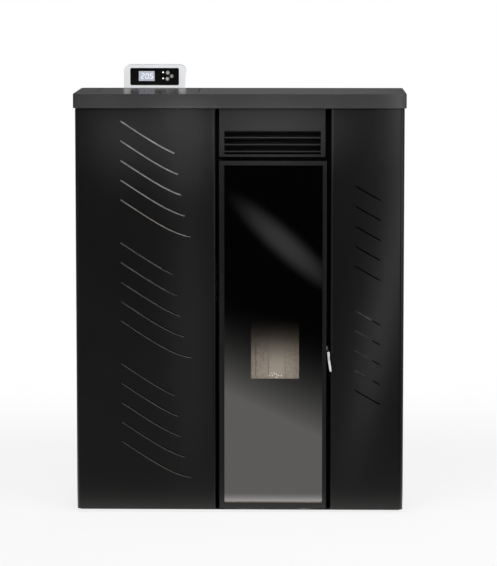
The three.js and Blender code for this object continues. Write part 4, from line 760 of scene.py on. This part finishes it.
class STOVE_OT_dress_door(bpy.types.Operator):
    """Finish the door, and add the glass's tape and clips and the braided rope"""
    bl_idname = "stove.dress_door"
    bl_label = "Door"

    def execute(self, context):
        dress(FINISHES["glass"], "door_glass")
        dress(FINISHES["paint"], "door_inner_panel")
        dress(FINISHES["chrome"], "door_handle")
        # The hinges take the same near-black coat, as painted shade in the gap beside the door.
        dress(FINISHES["shade black"], "door_hinge_upper", "door_hinge_lower")
        dress(FINISHES["zinc"], "latch_hook", "latch_keeper")
        self.lay_tape()
        self.fit_clips()
        self.braid_rope(context.scene.stove_fittings.rope_strands)
        return {"FINISHED"}

    @staticmethod
    def lay_tape():
        """Glass tape that shows as a thin line along the lower edge of the pane."""
        left, right = -38.1 * MM, 205.8 * MM
        bottom, top = 24.7 * MM, 27.4 * MM
        bm = bmesh.new()
        add_block(bm, (left, GLASS_FRONT - 0.9 * MM, bottom), (right, GLASS_FRONT - 0.1 * MM, top))
        piece_from("glass_edge_tape", bm, FINISHES["tape"], "door", 0)

    @staticmethod
    def fit_clips():
        """Pressed clips and their screws hold the inner panel and the pane to the frame."""
        low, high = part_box("door_inner_panel")
        columns = (low.x + 4 * MM, high.x - 4 * MM)
        rows = (low.z + 30 * MM, (low.z + high.z) / 2 + 40 * MM, high.z - 12 * MM)
        half_width, half_height = 4 * MM, 9 * MM
        near, far = PANEL_BACK + 0.1 * MM, PANEL_BACK + 1.3 * MM
        clips, screws = bmesh.new(), bmesh.new()
        for z in rows:
            for x in columns:
                add_block(clips, (x - half_width, near, z - half_height),
                          (x + half_width, far, z + half_height))
                add_screw(screws, (x, far, z), REARWARDS, 5.5 * MM)
        piece_from("glass_clips", clips, FINISHES["zinc"], "door", 0)
        piece_from("glass_clip_screws", screws, FINISHES["zinc"], "door")

    @staticmethod
    def braid_rope(strands):
        """The rope runs once round the inner panel in place of its plain solid, with its braid in relief."""
        low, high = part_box("door_rope_seal")
        middle = (low.y + high.y) / 2
        half_width, half_depth = 4.9 * MM, (high.y - low.y) / 2
        inset = 5 * MM              # from the solid's outside to the rope's middle
        corner = 10 * MM
        step = 2.4 * MM
        lay = 11 * MM / step        # steps in which a strand goes once round
        swell = 0.45 * MM           # how far a strand stands out

        left, right = low.x + inset + corner, high.x - inset - corner
        bottom, top = low.z + inset + corner, high.z - inset - corner
        centres = ((right, top), (left, top), (left, bottom), (right, bottom))
        turns = [[Vector((x + corner * math.cos(a), middle, z + corner * math.sin(a)))
                  for a in (math.pi / 2 * (quarter + k / 6) for k in range(7))]
                 for quarter, (x, z) in enumerate(centres)]
        path = []
        for turn, following in zip(turns, turns[1:] + turns[:1]):
            gap = following[0] - turn[-1]
            count = int(gap.length / step)
            path += turn + [turn[-1] + gap * (k / count) for k in range(1, count)]

        def radius_at(index, angle):
            """Strands cross each other to and fro round the rope."""
            one = math.cos(strands / 2 * angle + 2 * math.pi * index / lay)
            other = math.cos(strands / 2 * angle - 2 * math.pi * index / lay)
            plain = math.hypot(math.cos(angle) * half_width, math.sin(angle) * half_depth)
            return plain - swell + swell * max(one, other)

        bm = bmesh.new()
        add_closed_tube(bm, path, radius_at, 20)
        rope = piece_from("braided_door_rope", bm, FINISHES["rope"], "door", 60)
        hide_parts("door_rope_seal")


# ---------------------------------------------------------------- fire chamber and feed

class STOVE_OT_dress_fire(bpy.types.Operator):
    """Finish the firebox, its boards, the burn pot and the heat exchanger"""
    bl_idname = "stove.dress_fire"
    bl_label = "Fire chamber"

    def execute(self, context):
        dress(FINISHES["paint"], "firebox_shell", "heat_exchanger")
        dress(FINISHES["rear board"], "liner_back")
        dress(FINISHES["board"], "liner_left", "liner_right", "baffle_plate")
        dress(FINISHES["iron"], "burn_pot", "burn_pot_seat")
        dress(FINISHES["zinc sheet"], "ash_pan")
        dress(FINISHES["zinc"], "igniter")
        self.set_air_nozzles()
        return {"FINISHED"}

    @staticmethod
    def set_air_nozzles():
        """Eight ceramic air nozzles low on the liner's rib; they show as pale dots in the window."""
        places = ((72, 315), (77, 321), (80, 315), (85, 320.5), (90, 318), (95, 315), (103, 315), (90, 310))
        profile = ((1.9 * MM, 0), (1.9 * MM, 1.4 * MM), (1.3 * MM, 2.0 * MM))
        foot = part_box("liner_back")[0].y - 0.1 * MM
        bm = bmesh.new()
        for x, z in places:
            add_turned(bm, profile, Matrix.Translation((x * MM, foot, z * MM)) @ facing(FORWARDS), 10)
        piece_from("air_nozzles", bm, FINISHES["steatite"], "cabinet")


class STOVE_OT_dress_feed(bpy.types.Operator):
    """Finish the hopper, the auger and the chute, and add the lid's rubber bead"""
    bl_idname = "stove.dress_feed"
    bl_label = "Pellet feed"

    def execute(self, context):
        dress(FINISHES["zinc sheet"], "pellet_hopper", "pellet_chute")
        dress(FINISHES["zinc"], "hopper_guard_grid", "auger_tube", "auger_screw")
        dress(FINISHES["aluminium"], "auger_gearmotor")
        self.extrude_gasket()
        return {"FINISHED"}

    @staticmethod
    def extrude_gasket():
        """A rounded rubber bead under the lid's rim in place of its plain solid."""
        low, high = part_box("lid_gasket")
        centre = (low + high) / 2
        half_width, half_height = 3 * MM, (high.z - low.z) / 2
        sides = 10
        bm = bmesh.new()
        rings = []
        for x, y in ((low.x, low.y), (high.x, low.y), (high.x, high.y), (low.x, high.y)):
            corner = Vector((x, y, centre.z))
            inward = Vector((math.copysign(1, centre.x - x), math.copysign(1, centre.y - y), 0))
            rings.append([bm.verts.new(corner + inward * half_width * (1 + math.cos(a))
                                       + Vector((0, 0, half_height * math.sin(a))))
                          for a in (2 * math.pi * k / sides for k in range(sides))])
        for low_ring, high_ring in zip(rings, rings[1:] + rings[:1]):
            for k in range(sides):
                j = (k + 1) % sides
                bm.faces.new((low_ring[k], low_ring[j], high_ring[j], high_ring[k]))
        bead = piece_from("lid_rubber_bead", bm, FINISHES["rubber"], "lid", 50)
        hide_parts("lid_gasket")


class STOVE_OT_dress_air(bpy.types.Operator):
    """Finish the fans, the ducts and the flue"""
    bl_idname = "stove.dress_air"
    bl_label = "Air and smoke"

    def execute(self, context):
        dress(FINISHES["aluminium"], "extractor_housing", "room_fan_wheel")
        dress(FINISHES["zinc"], "extractor_impeller", "air_inlet_pipe")
        dress(FINISHES["paint"], "flue_spigot")
        dress(FINISHES["zinc sheet"], "room_fan_housing")
        dress(FINISHES["black plastic"], "extractor_motor", "room_fan_motor", "control_board_case", "power_inlet",
              "power_switch")
        return {"FINISHED"}


# ---------------------------------------------------------------- console

SEGMENTS = {"0": "abcdef", "1": "bc", "2": "abged", "3": "abgcd", "4": "fgbc", "5": "afgcd", "6": "afgedc",
            "7": "abc", "8": "abcdefg", "9": "abcdfg"}
# Start and end of each segment, across and up in parts of a digit's width and height.
BARS = {"a": (0, 1, 1, 1), "b": (1, 1, 1, 0.5), "c": (1, 0.5, 1, 0), "d": (0, 0, 1, 0), "e": (0, 0.5, 0, 0),
        "f": (0, 1, 0, 0.5), "g": (0, 0.5, 1, 0.5)}


class STOVE_OT_dress_console(bpy.types.Operator):
    """Finish the console, and add the digits, the two lamps and the marks on the buttons"""
    bl_idname = "stove.dress_console"
    bl_label = "Console"

    def execute(self, context):
        dress(FINISHES["pale plastic"], "console_housing")
        dress(FINISHES["fascia film"], "console_fascia")
        dress(FINISHES["display"], "console_display")
        dress(FINISHES["button"], "console_button_1", "console_button_2", "console_button_3")
        self.show_digits(f"{context.scene.stove_fittings.temperature:03d}")
        self.fit_lamps()
        self.mark_buttons()
        return {"FINISHED"}

    @staticmethod
    def show_digits(text):
        """Seven-segment digits that stand a hair in front of the display."""
        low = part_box("console_display")[0]
        front, back = low.y - 0.12 * MM, low.y - 0.02 * MM
        tall, wide, bar = 12 * MM, 6.6 * MM, 1.5 * MM
        pitch = 11.4 * MM
        lean = 0.08
        left, base = low.x + 6.2 * MM, low.z + 6.5 * MM
        bm = bmesh.new()

        def at(place, across, up):
            """A point of a slanting digit, in parts of its width and height."""
            return Vector((left + place * pitch + across * wide + up * tall * lean, 0, base + up * tall))

        for place, digit in enumerate(text):
            for key in SEGMENTS[digit]:
                u0, v0, u1, v1 = BARS[key]
                start, end = at(place, u0, v0), at(place, u1, v1)
                along = (end - start).normalized()
                start, end = start + along * bar * 0.35, end - along * bar * 0.35
                side = Vector((-along.z, 0, along.x)) * bar / 2
                corners = [start - side, end - side, end + side, start + side]
                fore, rear = [[bm.verts.new(c + Vector((0, y, 0))) for c in corners] for y in (front, back)]
                bm.faces.new(fore)
                bm.faces.new(list(reversed(rear)))
                for k in range(4):
                    bm.faces.new((fore[k], fore[(k + 1) % 4], rear[(k + 1) % 4], rear[k]))
        dot = Vector((left + 2 * pitch - 2.2 * MM, front, base + 0.6 * MM))
        half = 0.8 * MM
        add_block(bm, dot - Vector((half, 0, half)), dot + Vector((half, 0.1 * MM, half)))
        piece_from("display_digits", bm, FINISHES["digit"], "cabinet", 0)

    @staticmethod
    def fit_lamps():
        """Two small round lamps at the left of the buttons."""
        x, heights = -0.2034, (1.0897, 1.0742)
        profile = [(2.0 * MM, 0), (2.0 * MM, 0.3 * MM), (1.5 * MM, 0.8 * MM), (0.7 * MM, 1.05 * MM)]
        bm = bmesh.new()
        for z in heights:
            placed = Matrix.Translation((x, FASCIA_FRONT + 0.2 * MM, z)) @ facing(FORWARDS)
            add_turned(bm, profile, placed, 14)
        piece_from("console_lamps", bm, FINISHES["lamp"], "cabinet")

    @staticmethod
    def mark_buttons():
        """Raised marks: a ring, an upright bar and a cross, glowing as painted light though no lamp lies behind
        them.
        """
        ring_radius, links = 2.1 * MM, 12
        link = Vector((0.62, 0, 0.22)) * MM
        bar = Vector((0.45, 0, 2.6)) * MM
        out, into = Vector((0, -0.12 * MM, 0)), Vector((0, 0.02 * MM, 0))
        turns = {"ring": [360 * k / links for k in range(links)], "bar": (0,), "cross": (45, -45)}
        for number, (kind, angles) in enumerate(turns.items(), 1):
            low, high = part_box(f"console_button_{number}")
            middle = Vector(((low.x + high.x) / 2, low.y, (low.z + high.z) / 2))
            bm = bmesh.new()
            for angle in angles:
                turn = Matrix.Rotation(math.radians(angle), 4, "Y")
                offset = turn @ Vector((0, 0, ring_radius)) if kind == "ring" else Vector()
                half = link if kind == "ring" else bar
                add_block(bm, middle + offset - half + out, middle + offset + half + into, turn)
            # The marks glow as painted light; no lamp lies under them.
            piece_from(f"button_mark_{number}", bm, FINISHES["digit"], f"button_{number}",
                       0)


# ---------------------------------------------------------------- screws

class STOVE_OT_drive_screws(bpy.types.Operator):
    """Drive the screws of the back panel, the bracket, the socket and the flue"""
    bl_idname = "stove.drive_screws"
    bl_label = "Screws"

    def execute(self, context):
        head = context.scene.stove_fittings.screw_head
        low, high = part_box("back_panel")
        bm = bmesh.new()
        side_screws, side_margin, end_margin = 5, 12 * MM, 30 * MM
        step = (high.z - low.z - 2 * end_margin) / (side_screws - 1)
        for x in (low.x + side_margin, high.x - side_margin):
            for k in range(side_screws):
                add_screw(bm, (x, BACK, low.z + end_margin + k * step), REARWARDS, head)
        for part in (0.25, 0.5, 0.75):
            add_screw(bm, (low.x + part * (high.x - low.x), BACK, high.z - 14 * MM), REARWARDS, head)
        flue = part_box("flue_spigot")
        middle = (flue[0] + flue[1]) / 2
        flange_face, ring_radius = BACK + 1.8 * MM, 46.5 * MM
        for k in range(4):
            a = math.pi / 4 + k * math.pi / 2
            place = (middle.x + ring_radius * math.cos(a), flange_face, middle.z + ring_radius * math.sin(a))
            add_screw(bm, place, REARWARDS, 5 * MM)
        piece_from("rear_screws", bm, FINISHES["zinc"], "cabinet")

        bm = bmesh.new()
        low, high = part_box("console_bracket")
        for x in (low.x + 15 * MM, high.x - 15 * MM):
            add_screw(bm, (x, low.y + 2 * MM, 0.978), REARWARDS, 6 * MM)
        socket_x, socket_z, socket_face, spacing = 0.352, 0.062, 0.1263, 51 * MM
        for side in (-0.5, 0.5):
            add_screw(bm, (socket_x + side * spacing, socket_face, socket_z), REARWARDS, 3.6 * MM)
        piece_from("bracket_and_socket_screws", bm, FINISHES["zinc"], "cabinet")
        return {"FINISHED"}


# ---------------------------------------------------------------- panel and run

class STOVE_PT_sidebar(bpy.types.Panel):
    """Lists the stove's steps and settings"""
    bl_label = "Pellet Stove"
    bl_idname = "STOVE_PT_sidebar"
    bl_space_type = "VIEW_3D"
    bl_region_type = "UI"
    bl_category = "Stove"

    def draw(self, context):
        for operator in OPERATORS:
            self.layout.operator(operator.bl_idname)
        for group in GROUPS:
            settings = getattr(context.scene, group)
            box = self.layout.box()
            for name in settings.bl_rna.properties.keys():
                if name not in ("rna_type", "name"):
                    box.prop(settings, name)


OPERATORS = (STOVE_OT_set_stage, STOVE_OT_mix_finishes, STOVE_OT_dress_casing, STOVE_OT_dress_door,
             STOVE_OT_dress_fire, STOVE_OT_dress_feed, STOVE_OT_dress_air, STOVE_OT_dress_console,
             STOVE_OT_drive_screws)
GROUPS = {"stove_finish": StoveFinishSettings, "stove_glass": StoveGlassSettings,
          "stove_fittings": StoveFittingSettings, "stove_studio": StoveStudioSettings}


def register():
    for cls in (*GROUPS.values(), *OPERATORS, STOVE_PT_sidebar):
        bpy.utils.register_class(cls)
    for name, group in GROUPS.items():
        setattr(bpy.types.Scene, name, PointerProperty(type=group))


def unregister():
    for name in GROUPS:
        delattr(bpy.types.Scene, name)
    for cls in reversed((*GROUPS.values(), *OPERATORS, STOVE_PT_sidebar)):
        bpy.utils.unregister_class(cls)


def main():
    register()
    for operator in OPERATORS:
        family, name = operator.bl_idname.split(".")
        if getattr(getattr(bpy.ops, family), name)() != {"FINISHED"}:
            raise RuntimeError(f"{operator.bl_label} did not finish")


if __name__ == "__main__":
    main()
